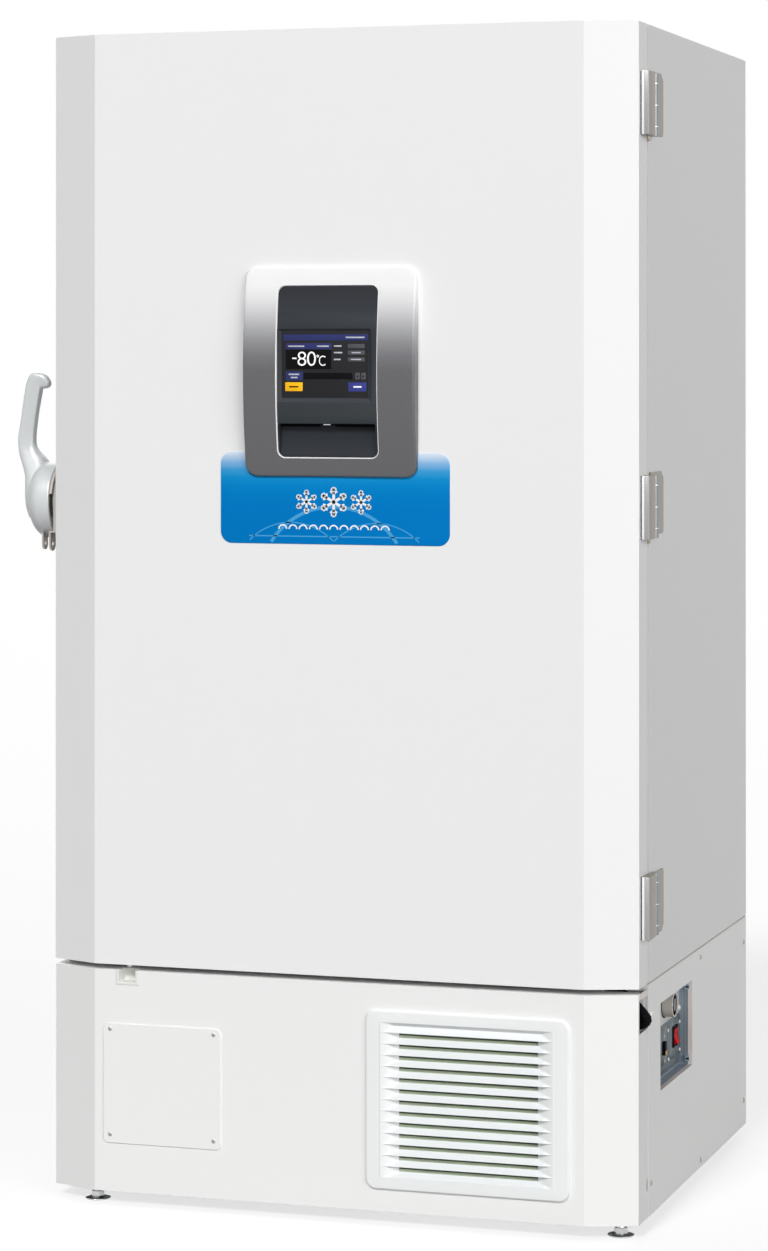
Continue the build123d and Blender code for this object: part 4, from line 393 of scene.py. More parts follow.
def sealed(mesh, merge=merging, flat=False):
    # merges doubles, where asked also the triangles of one plane, and turns all faces outwards
    work = bmesh.new()
    work.from_mesh(mesh)
    bmesh.ops.remove_doubles(work, verts=work.verts, dist=merge)
    if flat:
        bmesh.ops.dissolve_limit(work, angle_limit=radians(flatTurn), verts=work.verts, edges=work.edges)
    bmesh.ops.recalc_face_normals(work, faces=work.faces)
    work.to_mesh(mesh)
    work.free()
    return mesh


def quads(index):
    # the four corners of each cell of a grid of point numbers
    return np.stack([index[:-1, :-1], index[:-1, 1:], index[1:, 1:], index[1:, :-1]], axis=-1)


def gridMesh(name, points, closeRows=False, closeColumns=False, angle=35):
    # points is rows x columns x 3: a surface over two parameters, its end rows capped
    rows, columns = points.shape[:2]
    index = np.arange(rows * columns).reshape(rows, columns)
    if closeRows:
        index = np.vstack([index, index[:1]])
    if closeColumns:
        index = np.hstack([index, index[:, :1]])
    faces = quads(index).reshape(-1, 4).tolist()
    if not closeRows:
        faces += [index[0, :columns].tolist(), index[-1, :columns].tolist()]
    mesh = bpy.data.meshes.new(name)
    mesh.from_pydata(points.reshape(-1, 3).tolist(), [], faces)
    return smoothMesh(sealed(mesh), angle)


def joinMeshes(name, meshes, angle=35):
    # several closed meshes in one; the n-th material goes to meshes paired with n
    work = bmesh.new()
    for entry in meshes:
        mesh, slot = entry if isinstance(entry, tuple) else (entry, 0)
        mesh.polygons.foreach_set("material_index", np.full(len(mesh.polygons), slot))
        work.from_mesh(mesh)
    joined = bpy.data.meshes.new(name)
    work.to_mesh(joined)
    work.free()
    return smoothMesh(joined, angle)


def copied(node, flat=False):
    # a node's own mesh with its loose triangles merged
    mesh = frame["nodes"][node].data.copy()
    mesh.materials.clear()
    return sealed(mesh, mergingCopy, flat)


def dressed(node, width, angle=40):
    # a node's own shape with its edges rounded wherever faces turn by more than angle
    mesh = smoothMesh(copied(node, True), angle)
    name = "".join(w.capitalize() if i else w for i, w in enumerate(node.split("_")))
    piece = addPiece(name, mesh, slotFinish[slotOf[node]], node, (node,))
    bevel = piece.modifiers.new("edges", "BEVEL")
    bevel.width = width
    bevel.segments = 3
    bevel.limit_method = "ANGLE"
    bevel.angle_limit = radians(angle)
    bevel.harden_normals = True
    bevel.use_clamp_overlap = True


def roundedRectangle(lowX, highX, lowZ, highZ, radius, arc, run):
    # outline in X and Z: four arcs of center + radius (cos t, sin t), and each side in equal steps
    corners = ((highX, lowZ, -90), (highX, highZ, 0), (lowX, highZ, 90), (lowX, lowZ, 180))
    points = []
    for x, z, start in corners:
        centerX = x - radius * np.sign(x - (lowX + highX) / 2)
        centerZ = z - radius * np.sign(z - (lowZ + highZ) / 2)
        turns = np.radians(np.linspace(start, start + 90, arc))
        points += [(centerX + radius * np.cos(t), centerZ + radius * np.sin(t)) for t in turns]
    filled = []
    for i, (x, z) in enumerate(points):
        filled.append((x, z))
        if i % arc == arc - 1:
            nextX, nextZ = points[(i + 1) % len(points)]
            steps = np.linspace(0, 1, run + 1)[1:-1]
            filled += [(x + (nextX - x) * s, z + (nextZ - z) * s) for s in steps]
    return np.array(filled)


def outlineOf(sizes, inset=0.0):
    # the rounded rectangle of a dictionary of sizes, drawn in by inset on all sides
    s = sizes
    return roundedRectangle(
        s["left"] + inset, s["right"] - inset, s["low"] + inset, s["high"] - inset, s["corner"] - inset,
        s["arc"], s["run"],
    )


def standing(ring, y):
    # an outline in X and Z as points at the depth y, one number or one for each point
    return np.column_stack([ring[:, 0], np.broadcast_to(y, len(ring)), ring[:, 1]])


def box(x0, x1, y0, y1, z0, z1):
    # a plain closed box
    mesh = bpy.data.meshes.new("box")
    corners = [(x, y, z) for x in (x0, x1) for y in (y0, y1) for z in (z0, z1)]
    faces = [(0, 1, 3, 2), (4, 6, 7, 5), (0, 4, 5, 1), (2, 3, 7, 6), (0, 2, 6, 4), (1, 5, 7, 3)]
    mesh.from_pydata(corners, [], faces)
    return sealed(mesh)


tileShares = dict(edge=0.3, inner=0.7, soft=0.2)
tileSteps = (5, 2)


def tile(x0, x1, z0, z1, face, depth, radius):
    # a thin plate in the XZ plane, its face towards -Y; edge and corner inside it are shares of the radius
    edge, innerRadius, soft = (radius * tileShares[key] for key in ("edge", "inner", "soft"))
    outline = roundedRectangle(x0, x1, z0, z1, radius, *tileSteps)
    inner = roundedRectangle(x0 + edge, x1 - edge, z0 + edge, z1 - edge, innerRadius, *tileSteps)
    levels = ((outline, face + depth), (outline, face + soft), (inner, face))
    return gridMesh("tile", np.array([standing(ring, y) for ring, y in levels]), closeColumns=True)


def revolved(name, profile, origin, axis, count=48, angle=35, closed=False):
    # profile of (along, radius) turned about an axis through origin; radius 0 closes a pole
    towards = Vector(axis).normalized()
    side = towards.orthogonal().normalized()
    other = towards.cross(side)
    turns = np.linspace(0, 2 * pi, count, endpoint=False)
    spokes = np.array([np.array(side) * cos(t) + np.array(other) * sin(t) for t in turns])
    along, radius = np.array(profile).T[:, :, None, None]
    points = np.array(origin) + along * np.array(towards) + radius * spokes[None]
    return gridMesh(name, points, closeRows=closed, closeColumns=True, angle=angle)


def swept(name, path, sections, angle):
    # sections (one per path point, columns x 2) stand across the path, their second axis along Y
    ahead = np.gradient(path, axis=0)
    ahead /= np.linalg.norm(ahead, axis=1)[:, None]
    flat = np.array((0.0, 1.0, 0.0))
    across = np.cross(flat, ahead)
    across /= np.linalg.norm(across, axis=1)[:, None]
    points = path[:, None, :] + sections[:, :, :1] * across[:, None, :] + sections[:, :, 1:] * flat
    return gridMesh(name, points, closeColumns=True, angle=angle)


def superellipse(halfWidth, halfDepth, power, count=48):
    # half width times |cos t| and half depth times |sin t|, both to 2 / power: squarer as the power grows
    turns = np.linspace(0, 2 * pi, count, endpoint=False)
    c, s = np.cos(turns), np.sin(turns)
    return np.stack([
        halfWidth * np.sign(c) * np.abs(c) ** (2 / power), halfDepth * np.sign(s) * np.abs(s) ** (2 / power)
    ], axis=-1)


# Floor: white to the eye and to gloss, and it keeps the object's shadow
floorValues = dict(half=15, shade=0.32, roughness=0.9, specular=0.1, glow=0.72)
floorMaterial, nodes, links, shader = nodeMaterial("studioFloor")
shader.inputs["Roughness"].default_value = floorValues["roughness"]
shader.inputs["Specular IOR Level"].default_value = floorValues["specular"]
shader.inputs["Base Color"].default_value = (floorValues["shade"],) * 3 + (1,)
shader.inputs["Emission Color"].default_value = (1, 1, 1, 1)
rays = nodes.new("ShaderNodeLightPath").outputs
seenRay = mathNode(nodes, links, "MAXIMUM", rays["Is Camera Ray"], rays["Is Glossy Ray"])
glowShare = mathNode(nodes, links, "MULTIPLY", seenRay, floorValues["glow"])
links.new(glowShare, shader.inputs["Emission Strength"])
half = floorValues["half"]
floorMesh = bpy.data.meshes.new("floor")
floorMesh.from_pydata(
    [(-half, -half, 0), (half, -half, 0), (half, half, 0), (-half, half, 0)], [], [(0, 1, 2, 3)]
)
floorMesh.materials.append(floorMaterial)
floorObject = bpy.data.objects.new("floor", floorMesh)
linkObject(floorObject)

# Plain forms whose edges are rounded: node and edge width
softEdges = {
    "cabinet_shell": 0.0006, "door_shell": 0.002, "front_panel": 0.0006, "side_panel_left": 0.0005,
    "side_panel_right": 0.0005, "cover_plate": 0.0004, "keeper_cup": 0.0012, "service_box": 0.0004,
    "switch_housings": 0.0006, "power_rocker": 0.0005,
    "levelling_foot_left": 0.0006, "levelling_foot_right": 0.0006,
    "inner_door_lower": 0.004, "inner_door_upper": 0.004,
    "breaker_frame": 0.002, "machine_base": 0.001, "rear_panel": 0.0003, "rear_spacers": 0.001,
    "latch_base": 0.0012, "strike_plate": 0.0008, "latch_hook": 0.0008,
    "shelf_lower": 0.0006, "shelf_middle": 0.0006, "shelf_upper": 0.0006, "shelf_rails": 0.0005,
    "port_sleeves": 0.0008, "port_plug": 0.001, "power_inlet": 0.0008, "door_inner_panel": 0.002,
    "fan_shroud": 0.0006, "condenser_fan": 0.0008, "control_panel": 0.0008,
}
flatTurns = {"door_shell": 12, "front_panel": 12}  # their corners turn by only 20 degrees
for node, width in softEdges.items():
    dressed(node, width, flatTurns.get(node, 40))
print("soft edges set")

# Control surround: a ring whose face is arched from top to bottom, its paint fading from grey at the bottom
# to white at the top as painted reflection and shade, with a bright edge round the window
surroundSizes = dict(
    left=middle - 0.154, right=middle + 0.147, low=1.242, high=1.594, corner=0.020, edge=0.006, rise=0.024,
    round=0.004, windowLeft=middle - 0.0936, windowRight=middle + 0.0808, windowLow=1.275, windowHigh=1.561,
    windowCorner=0.012, trim=0.0022, least=0.0006, arc=14, run=26,
)
# The bright edge: how far outside the window, how far below the face, or none on the door's face
trimRows = (
    (0.0022, 0.0), (0.00165, -0.0002), (0.00066, 0.0007), (0.0, 0.0022), (0.0, None), (0.0022, None),
)


def archHeight(z, sizes, drop=0.0):
    # how far the arched face stands in front of the door at height z: a circle through edge, rise and edge
    half = (sizes["high"] - sizes["low"]) / 2
    bow = sizes["rise"] - sizes["edge"]
    radius = (half ** 2 + bow ** 2) / (2 * bow)
    offset = np.clip(z - (sizes["low"] + sizes["high"]) / 2, -half, half)
    return sizes["rise"] - drop - (radius - np.sqrt(radius ** 2 - offset ** 2))


def windowOutline(sizes, out):
    # the window's outline, grown by out on all sides
    s = sizes
    return roundedRectangle(
        s["windowLeft"] - out, s["windowRight"] + out, s["windowLow"] - out, s["windowHigh"] + out,
        s["windowCorner"] + out, s["arc"], s["run"],
    )


def surroundRing(sizes):
    # rows run from the outer foot over the rounded edge and the face to the window's wall
    s = sizes
    outer, window = outlineOf(s), windowOutline(s, s["trim"])
    reach = np.linalg.norm(window - outer, axis=1)[:, None]
    rows = [standing(outer, front)]
    for t in np.radians([0, 15, 30, 45, 60, 75, 90]):
        ring = outer + (window - outer) * (s["round"] * (1 - cos(t)) / reach)
        depth = np.maximum(s["least"], archHeight(ring[:, 1], s, s["round"] * (1 - sin(t))))
        rows.append(standing(ring, front - depth))
    start = outer + (window - outer) * (s["round"] / reach)
    for share in np.linspace(0, 1, 7)[1:]:
        ring = start + (window - start) * share
        rows.append(standing(ring, front - archHeight(ring[:, 1], s)))
    rows.append(standing(window, front))
    return gridMesh("surround", np.array(rows), closeRows=True, closeColumns=True, angle=50)


def windowTrim(sizes):
    # a narrow bright slope between the face and the dark panel
    rows = []
    for out, drop in trimRows:
        ring = windowOutline(sizes, out)
        rows.append(standing(ring, front if drop is None else front - archHeight(ring[:, 1], sizes, drop)))
    return gridMesh("windowTrim", np.array(rows), closeRows=True, closeColumns=True, angle=30)


addPiece("controlSurround", surroundRing(surroundSizes), "surroundFade", "control_frame", ("control_frame",))
addPiece("windowTrim", windowTrim(surroundSizes), "edgeWhite", "control_frame")
print("surround made")

# Dark panel: the row of small teeth in the slot below the screen, and a light mark in its middle
slotSizes = dict(
    inset=0.006, teeth=22, pitch=0.0031, first=0.0145, toothHalf=0.0009, toothNear=0.0135, toothFar=0.0105,
    toothLow=1.3262, toothHigh=1.3300, rimLow=1.3305, rimHigh=1.3318, rimDeep=0.002, rimRound=0.0005,
    rimAt=1.324, rimDrop=0.001, rimLift=0.0004, markHalf=0.006, markNear=0.0180, markFar=0.0160,
    markLow=1.3288, markHigh=1.3302,
)


def slotBand(sizes):
    # the slot's rim, teeth at both sides of the window's middle at equal steps, and the mark
    s, window = sizes, surroundSizes
    middleX = (window["windowLeft"] + window["windowRight"]) / 2
    face = front - float(archHeight(s["rimAt"], window, s["rimDrop"])) - s["rimLift"]
    meshes = [tile(
        window["windowLeft"] + s["inset"], window["windowRight"] - s["inset"], s["rimLow"], s["rimHigh"],
        face, s["rimDeep"], s["rimRound"],
    )]
    for side in (-1, 1):
        for i in range(s["teeth"]):
            x = middleX + side * (s["first"] + i * s["pitch"])
            meshes.append(box(x - s["toothHalf"], x + s["toothHalf"], front - s["toothNear"],
                              front - s["toothFar"], s["toothLow"], s["toothHigh"]))
    meshes.append((box(middleX - s["markHalf"], middleX + s["markHalf"], front - s["markNear"],
                       front - s["markFar"], s["markLow"], s["markHigh"]), 1))
    return joinMeshes("slotBand", meshes)


addPiece("slotTeeth", slotBand(slotSizes), ["slotBlack", "screenPale"], "control_panel")

# Grille: a raised frame with a soft edge, and a field of ridges that run out in wedges, a slot below each,
# and under each slot a green band that stands for the filter behind it, painted as lit
grilleSizes = dict(
    left=0.099, right=0.449, low=0.059, high=0.357, corner=0.018, face=front - 0.004, foot=front + 0.001,
    soft=0.0035, fieldLeft=0.1235, fieldRight=0.4235, fieldLow=0.0795, fieldHigh=0.3375, fieldCorner=0.0003,
    pitch=0.0185, count=13, slotLeft=0.155, slotRight=0.3936, depth=0.011, wall=0.0012, ends=22, power=1.6,
    wedge=0.012, arc=14, run=16,
)
# Height above a ridge and depth behind the frame's face; the band and the slot follow the slope
louvreProfile = np.array([
    (0.0000, 0.0003), (0.0006, 0.0004), (0.0016, 0.0015), (0.0032, 0.0035), (0.0048, 0.0055),
    (0.0066, 0.0077), (0.0084, 0.0099), (0.0092, 0.0104), (0.0134, 0.0110), (0.0161, 0.0110),
    (0.0166, 0.0105), (0.0172, 0.0070), (0.0178, 0.0035), (0.0182, 0.0012),
])
# the band's row carries the filter painted as lit; the slot's row is left open
bandRow, slotRow = 7, 8
topProfile = np.array([
    (0.0000, 0.0003), (0.0006, 0.0004), (0.0030, 0.0020), (0.0055, 0.0036), (0.0080, 0.0051),
    (0.0096, 0.0060), (0.0106, 0.0063), (0.0116, 0.0058), (0.0134, 0.0042), (0.0152, 0.0022),
    (0.0168, 0.0004), (0.0175, 0.0),
])


def grilleFrame(sizes):
    # rows from the outer foot over a quarter round of the soft edge to the field's outline and back
    s = sizes
    outer = outlineOf(s)
    field = roundedRectangle(
        s["fieldLeft"], s["fieldRight"], s["fieldLow"], s["fieldHigh"], s["fieldCorner"], s["arc"], s["run"],
    )
    reach = np.linalg.norm(field - outer, axis=1)[:, None]
    rows = [standing(outer, s["foot"])]
    for turn in np.radians(np.linspace(0, 90, 7)):
        ring = outer + (field - outer) * (s["soft"] * (1 - cos(turn)) / reach)
        rows.append(standing(ring, s["face"] + s["soft"] * (1 - sin(turn))))
    rows += [standing(field, s["face"]), standing(field, s["foot"])]
    return gridMesh("grilleFrame", np.array(rows), closeRows=True, closeColumns=True, angle=40)


def grilleField(sizes):
    # depth over x and z: the lesser of the louvre's profile and, at the ends, depth times share to a power
    s = sizes
    x = np.concatenate([
        np.linspace(s["fieldLeft"], s["slotLeft"], s["ends"]),
        np.linspace(s["slotLeft"], s["slotRight"], 6)[1:-1],
        np.linspace(s["slotRight"], s["fieldRight"], s["ends"]),
    ])
    profile = np.vstack([louvreProfile + (s["pitch"] * i, 0) for i in range(s["count"])]
                        + [topProfile + (s["pitch"] * s["count"], 0)])
    z, deep = s["fieldLow"] + profile[:, 0], profile[:, 1]
    run = np.minimum((x - s["fieldLeft"]) / (s["slotLeft"] - s["fieldLeft"]),
                     (s["fieldRight"] - x) / (s["fieldRight"] - s["slotRight"]))
    ramp = s["depth"] * np.clip(run, 0, 1) ** s["power"]
    depth = np.minimum(deep[:, None], ramp[None, :])
    points = np.stack(np.broadcast_arrays(x[None, :], s["face"] + depth, z[:, None]), axis=-1)
    faces = quads(np.arange(depth.size).reshape(depth.shape))
    row = np.arange(len(depth) - 1)
    step = len(louvreProfile)
    louvreRow = np.where(row < step * s["count"], row % step, -1)[:, None]
    inSlot = (x[:-1] >= s["slotLeft"] - 1e-6) & (x[1:] <= s["slotRight"] + 1e-6)
    kept = ~((louvreRow == slotRow) & inSlot[None, :])
    band = (louvreRow == bandRow) & inSlot[None, :]
    mesh = bpy.data.meshes.new("grilleField")
    mesh.from_pydata(points.reshape(-1, 3).tolist(), [], faces[kept].tolist())
    # near the slots the louvres' slopes take the darker white as painted shade, the wedges at their ends the
    # grille's white
    plain = (x[:-1] < s["slotLeft"] - s["wedge"]) | (x[1:] > s["slotRight"] + s["wedge"])
    slope = (deep[:-1, None] <= ramp[None, :-1]) & ~plain[None, :]
    mesh.polygons.foreach_set("material_index", np.where(band, 2, slope.astype(int))[kept])
    return smoothMesh(mesh, 40)


addPiece("grilleFrame", grilleFrame(grilleSizes), "grilleWhite", "intake_grille", ("intake_grille",))
grilleSheet = addPiece(
    "grilleField", grilleField(grilleSizes), ["grilleWhite", "louvreWhite", "slotGreen"], "intake_grille",
)
thicken = grilleSheet.modifiers.new("wall", "SOLIDIFY")
thicken.thickness = grilleSizes["wall"]
thicken.offset = -1
print("grille made")

# Screen: fields as shares of its width and height from the top left: x0, x1, y0, y1 and a colour
screenSizes = dict(
    left=middle - 0.0864, right=middle + 0.0651, low=1.374, high=1.484, face=-0.457, step=0.00025,
    fieldLeft=middle - 0.0840, fieldRight=middle + 0.0648, fieldLow=1.3800, fieldHigh=1.4800,
    thick=0.0012, corner=0.0006, overlap=0.9, fieldCorner=0.0008, markCorner=0.0004,
)
screenColors = [
    "screenBack", "screenNavy", "screenBlack", "screenGrey", "screenPale", "screenWhite", "screenYellow",
    "screenBlue",
]
screenFields = (
    (0.000, 1.000, 0.000, 0.100, "screenNavy"), (0.030, 0.570, 0.147, 0.246, "screenNavy"),
    (0.030, 0.570, 0.253, 0.580, "screenBlack"), (0.764, 0.962, 0.160, 0.230, "screenGrey"),
    (0.764, 0.962, 0.270, 0.340, "screenGrey"), (0.764, 0.962, 0.385, 0.450, "screenGrey"),
    (0.030, 0.230, 0.620, 0.770, "screenNavy"), (0.240, 0.820, 0.640, 0.750, "screenBlack"),
    (0.850, 0.905, 0.640, 0.750, "screenGrey"), (0.920, 0.975, 0.640, 0.750, "screenGrey"),
    (0.024, 0.230, 0.800, 0.947, "screenYellow"), (0.770, 0.983, 0.800, 0.950, "screenBlue"),
)
# Small marks: bars and dots
screenMarks = (
    (0.740, 0.960, 0.038, 0.062, "screenPale"), (0.060, 0.250, 0.185, 0.207, "screenPale"),
    (0.400, 0.540, 0.185, 0.207, "screenPale"), (0.600, 0.690, 0.182, 0.206, "screenPale"),
    (0.600, 0.700, 0.292, 0.316, "screenPale"), (0.600, 0.680, 0.405, 0.429, "screenPale"),
    (0.810, 0.915, 0.296, 0.314, "screenPale"), (0.800, 0.920, 0.408, 0.427, "screenPale"),
    (0.065, 0.190, 0.655, 0.678, "screenPale"), (0.090, 0.170, 0.708, 0.731, "screenPale"),
    (0.070, 0.180, 0.862, 0.886, "screenBlack"), (0.830, 0.925, 0.862, 0.886, "screenWhite"),
)
# Numerals: their foot and heights, places from the fields' left edge, spacing and stretch; then the arrows
numeralSizes = dict(
    foot=1.4277, thick=0.0004, high=0.0250, at=0.0240, spacing=0.93, wide=1.05,
    letterHigh=0.0178, letterAt=0.0621, letterWide=0.77, capShare=0.72, slimming=0.014,
    minusFrom=0.0162, minusTo=0.0238, minusLow=0.0112, minusHigh=0.0136,
    ringAt=0.0612, ringUp=0.0162, ringIn=0.0011, ringOut=0.0022,
    arrowZ=1.4105, arrowHalf=0.0016, arrows=((0.8775, -1), (0.9475, 1)),
)


def screenMesh(sizes):
    # a back plate, the fields one step in front of it and the marks two
    s = sizes
    width, height = s["fieldRight"] - s["fieldLeft"], s["fieldHigh"] - s["fieldLow"]
    meshes = [tile(s["left"], s["right"], s["low"], s["high"], s["face"], s["thick"], s["corner"])]
    for level, fields, corner in ((1, screenFields, s["fieldCorner"]), (2, screenMarks, s["markCorner"])):
        for x0, x1, y0, y1, color in fields:
            mesh = tile(
                s["fieldLeft"] + x0 * width, s["fieldLeft"] + x1 * width, s["fieldHigh"] - y1 * height,
                s["fieldHigh"] - y0 * height, s["face"] - level * s["step"], s["step"] * s["overlap"], corner,
            )
            meshes.append((mesh, screenColors.index(color)))
    return joinMeshes("screen", meshes)


def numberMesh(text, height, x, z, face, sizes, spacing=1.0, wide=1.0):
    # numerals as a flat mesh in the XZ plane: their left foot at x and z, their widths times wide
    curve = bpy.data.curves.new("numerals", "FONT")
    curve.body = text
    curve.size = height / sizes["capShare"]
    curve.extrude = sizes["thick"] / 2
    curve.offset = -height * sizes["slimming"]
    curve.space_character = spacing
    writing = bpy.data.objects.new("numerals", curve)
    linkObject(writing)
    bpy.context.view_layer.update()
    mesh = bpy.data.meshes.new_from_object(writing.evaluated_get(bpy.context.evaluated_depsgraph_get()))
    bpy.data.objects.remove(writing)
    flat = np.empty(len(mesh.vertices) * 3)
    mesh.vertices.foreach_get("co", flat)
    flat = flat.reshape(-1, 3)
    placed = np.column_stack([x + flat[:, 0] * wide, face - flat[:, 2], z + flat[:, 1]])
    mesh.vertices.foreach_set("co", placed.ravel())
    mesh.materials.clear()
    return sealed(mesh, 1e-7)


def prism(shape, face, depth):
    # an outline in X and Z carried from the face back by depth
    count = len(shape)
    points = [(x, y, z) for y in (face, face + depth) for x, z in shape]
    sides = [(i, (i + 1) % count, count + (i + 1) % count, count + i) for i in range(count)]
    mesh = bpy.data.meshes.new("prism")
    mesh.from_pydata(points, [], [range(count), range(count, 2 * count)] + sides)
    return sealed(mesh)


def screenNumerals(sizes):
    # two numerals, a minus, a letter and a ring in white, and two dark arrows
    s = sizes
    x, z, face = screenSizes["fieldLeft"], s["foot"], screenSizes["face"] - screenSizes["step"] * 2
    width = screenSizes["fieldRight"] - screenSizes["fieldLeft"]
    minus = box(
        x + s["minusFrom"], x + s["minusTo"], face, face + s["thick"], z + s["minusLow"], z + s["minusHigh"]
    )
    ring = ((0.0, s["ringIn"]), (0.0, s["ringOut"]), (s["thick"], s["ringOut"]), (s["thick"], s["ringIn"]))
    meshes = [
        numberMesh("80", s["high"], x + s["at"], z, face, s, s["spacing"], s["wide"]), minus,
        numberMesh("C", s["letterHigh"], x + s["letterAt"], z, face, s, wide=s["letterWide"]),
        revolved("degree", ring, (x + s["ringAt"], face, z + s["ringUp"]), (0, 1, 0), 32, closed=True),
    ]
    for share, side in s["arrows"]:
        arrowX, arrowZ, size = x + share * width, s["arrowZ"], s["arrowHalf"]
        shape = ((arrowX - side * size, arrowZ - size), (arrowX - side * size, arrowZ + size),
                 (arrowX + side * size, arrowZ))
        meshes.append((prism(shape, face, s["thick"]), 1))
    return joinMeshes("numerals", meshes)


addPiece("screenFields", screenMesh(screenSizes), screenColors, "display_screen", ("display_screen",))
addPiece("screenNumerals", screenNumerals(numeralSizes), ["screenWhite", "screenBlack"], "display_screen")
print("screen made")

# Blue plate: rounded, fading upwards, with pale arcs and white crystals of its own design
plateSizes = dict(
    left=middle - 0.2007, right=middle + 0.2022, low=1.129, high=1.283, corner=0.020, thick=0.001,
    lift=0.0002, print=0.0003, sink=0.00015, arc=12, run=10,
    edge=((0.0, 0.0), (0.0, 0.0006), (0.0003, 0.0009), (0.0008, 0.001)),
)
# The print: arcs by shift, radius and half width, a line, crystals by shift, size and half width, half rings
motif = dict(
    arcs=((-0.075, 0.105, 0.0009), (0.0, 0.132, 0.0028), (0.075, 0.105, 0.0009)),
    arcZ=1.060, arcLow=1.1335, arcFrom=18, arcTo=162, lineReach=0.150, lineZ=1.1420, lineHalf=0.0010,
    crystals=((-0.048, 0.0200, 0.0019), (0.0, 0.0250, 0.0023), (0.048, 0.0200, 0.0019)),
    crystalZ=1.2000, barbs=((0.55, 0.30), (0.78, 0.22)), lean=0.9, thinner=0.8,
    ringReach=0.090, ringPitch=0.018, ringZ=1.1540, ringRadius=0.0068, ringHalf=0.0012,
)


def bluePlate(sizes):
    # rows run over the rounded edge to the face
    rows = [standing(outlineOf(sizes, inset), front - depth) for inset, depth in sizes["edge"]]
    return gridMesh("bluePlate", np.array(rows), closeColumns=True, angle=50)


def strokeMesh(x0, z0, x1, z1, half, face):
    # a straight stroke in the XZ plane, half wide to each side
    along = np.array([x1 - x0, z1 - z0])
    along = along / np.linalg.norm(along)
    side = np.array([-along[1], along[0]]) * half
    ends = [np.array([x0, z0]), np.array([x1, z1])]
    shape = [ends[0] + side, ends[1] + side, ends[1] - side, ends[0] - side]
    return prism(shape, face, plateSizes["print"])


def ringBand(x, z, radius, half, face, start, stop, low=1.0, count=96):
    # a flat band along a circle, radius -/+ half, kept above the height low
    turns = np.radians(np.linspace(start, stop, count))
    turns = turns[z + (radius + half) * np.sin(turns) > low]
    behind = face + plateSizes["print"]
    edges = ((radius - half, face), (radius + half, face), (radius + half, behind), (radius - half, behind))
    rows = [[(x + r * cos(t), y, z + r * sin(t)) for r, y in edges] for t in turns]
    return gridMesh("band", np.array(rows), closeColumns=True, angle=30)


def crystalMesh(x, z, size, half, face):
    # six arms at 60 degrees with two pairs of barbs each, the barbs leaning to both sides
    meshes = []
    for turn in np.radians(np.arange(0, 360, 60) + 30):
        meshes.append(strokeMesh(x, z, x + size * cos(turn), z + size * sin(turn), half, face))
        for share, length in motif["barbs"]:
            footX, footZ = x + size * share * cos(turn), z + size * share * sin(turn)
            reach = size * length
            for lean in (turn - motif["lean"], turn + motif["lean"]):
                tipX, tipZ = footX + reach * cos(lean), footZ + reach * sin(lean)
                meshes.append(strokeMesh(footX, footZ, tipX, tipZ, half * motif["thinner"], face))
    return meshes


addPiece("bluePlate", bluePlate(plateSizes), "blueFade", "blue_plate", ("blue_plate",))
plateFace = front - plateSizes["thick"] - plateSizes["lift"]
bandFace = plateFace + plateSizes["sink"]
arcSpan = (motif["arcFrom"], motif["arcTo"], motif["arcLow"])
bands = [
    ringBand(middle + shift, motif["arcZ"], radius, half, bandFace, *arcSpan)
    for shift, radius, half in motif["arcs"]
]
bands.append(strokeMesh(
    middle - motif["lineReach"], motif["lineZ"], middle + motif["lineReach"], motif["lineZ"],
    motif["lineHalf"], bandFace,
))
addPiece("plateBands", joinMeshes("plateBands", bands), "printPale", "blue_plate")
crystals = []
for shift, size, half in motif["crystals"]:
    crystals += crystalMesh(middle + shift, motif["crystalZ"], size, half, plateFace)
for shift in np.arange(-motif["ringReach"], motif["ringReach"] + 0.001, motif["ringPitch"]):
    crystals.append(ringBand(
        middle + shift, motif["ringZ"], motif["ringRadius"], motif["ringHalf"], plateFace, 0, 180, count=24
    ))
addPiece("plateCrystals", joinMeshes("plateCrystals", crystals), "printWhite", "blue_plate")
print("blue plate made")

# Lever, slice by slice from the cup upwards: height above the pivot, outer and inner edge, half depth and
# squareness
pivot = dict(y=front + 0.110, z=1.193)
gripSlices = np.array([
    (-0.030, 0.0740, 0.030, 0.0440, 2.4), (-0.010, 0.0800, 0.032, 0.0450, 2.5),
    (0.010, 0.0820, 0.034, 0.0440, 2.6), (0.026, 0.0828, 0.036, 0.0400, 2.7),
    (0.040, 0.0842, 0.038, 0.0345, 2.8), (0.052, 0.0874, 0.041, 0.0285, 3.0),
    (0.063, 0.0920, 0.0450, 0.0225, 3.2), (0.072, 0.0958, 0.0510, 0.0180, 3.4),
    (0.080, 0.0985, 0.0590, 0.0150, 3.6), (0.088, 0.1003, 0.0660, 0.0126, 3.8),
    (0.096, 0.1010, 0.0700, 0.0112, 4.0), (0.105, 0.1010, 0.0712, 0.0104, 6.0),
    (0.116, 0.1000, 0.0708, 0.0100, 6.5), (0.135, 0.0968, 0.0686, 0.0100, 6.5),
    (0.151, 0.0943, 0.0664, 0.0100, 6.5), (0.167, 0.0919, 0.0636, 0.0100, 6.5),
    (0.183, 0.0894, 0.0606, 0.0100, 6.5), (0.197, 0.0872, 0.0580, 0.0100, 6.0),
    (0.207, 0.0853, 0.0570, 0.0099, 3.6), (0.2145, 0.0824, 0.0580, 0.0096, 3.0),
    (0.2195, 0.0786, 0.0610, 0.0086, 2.6), (0.2222, 0.0745, 0.0655, 0.0052, 2.2),
])
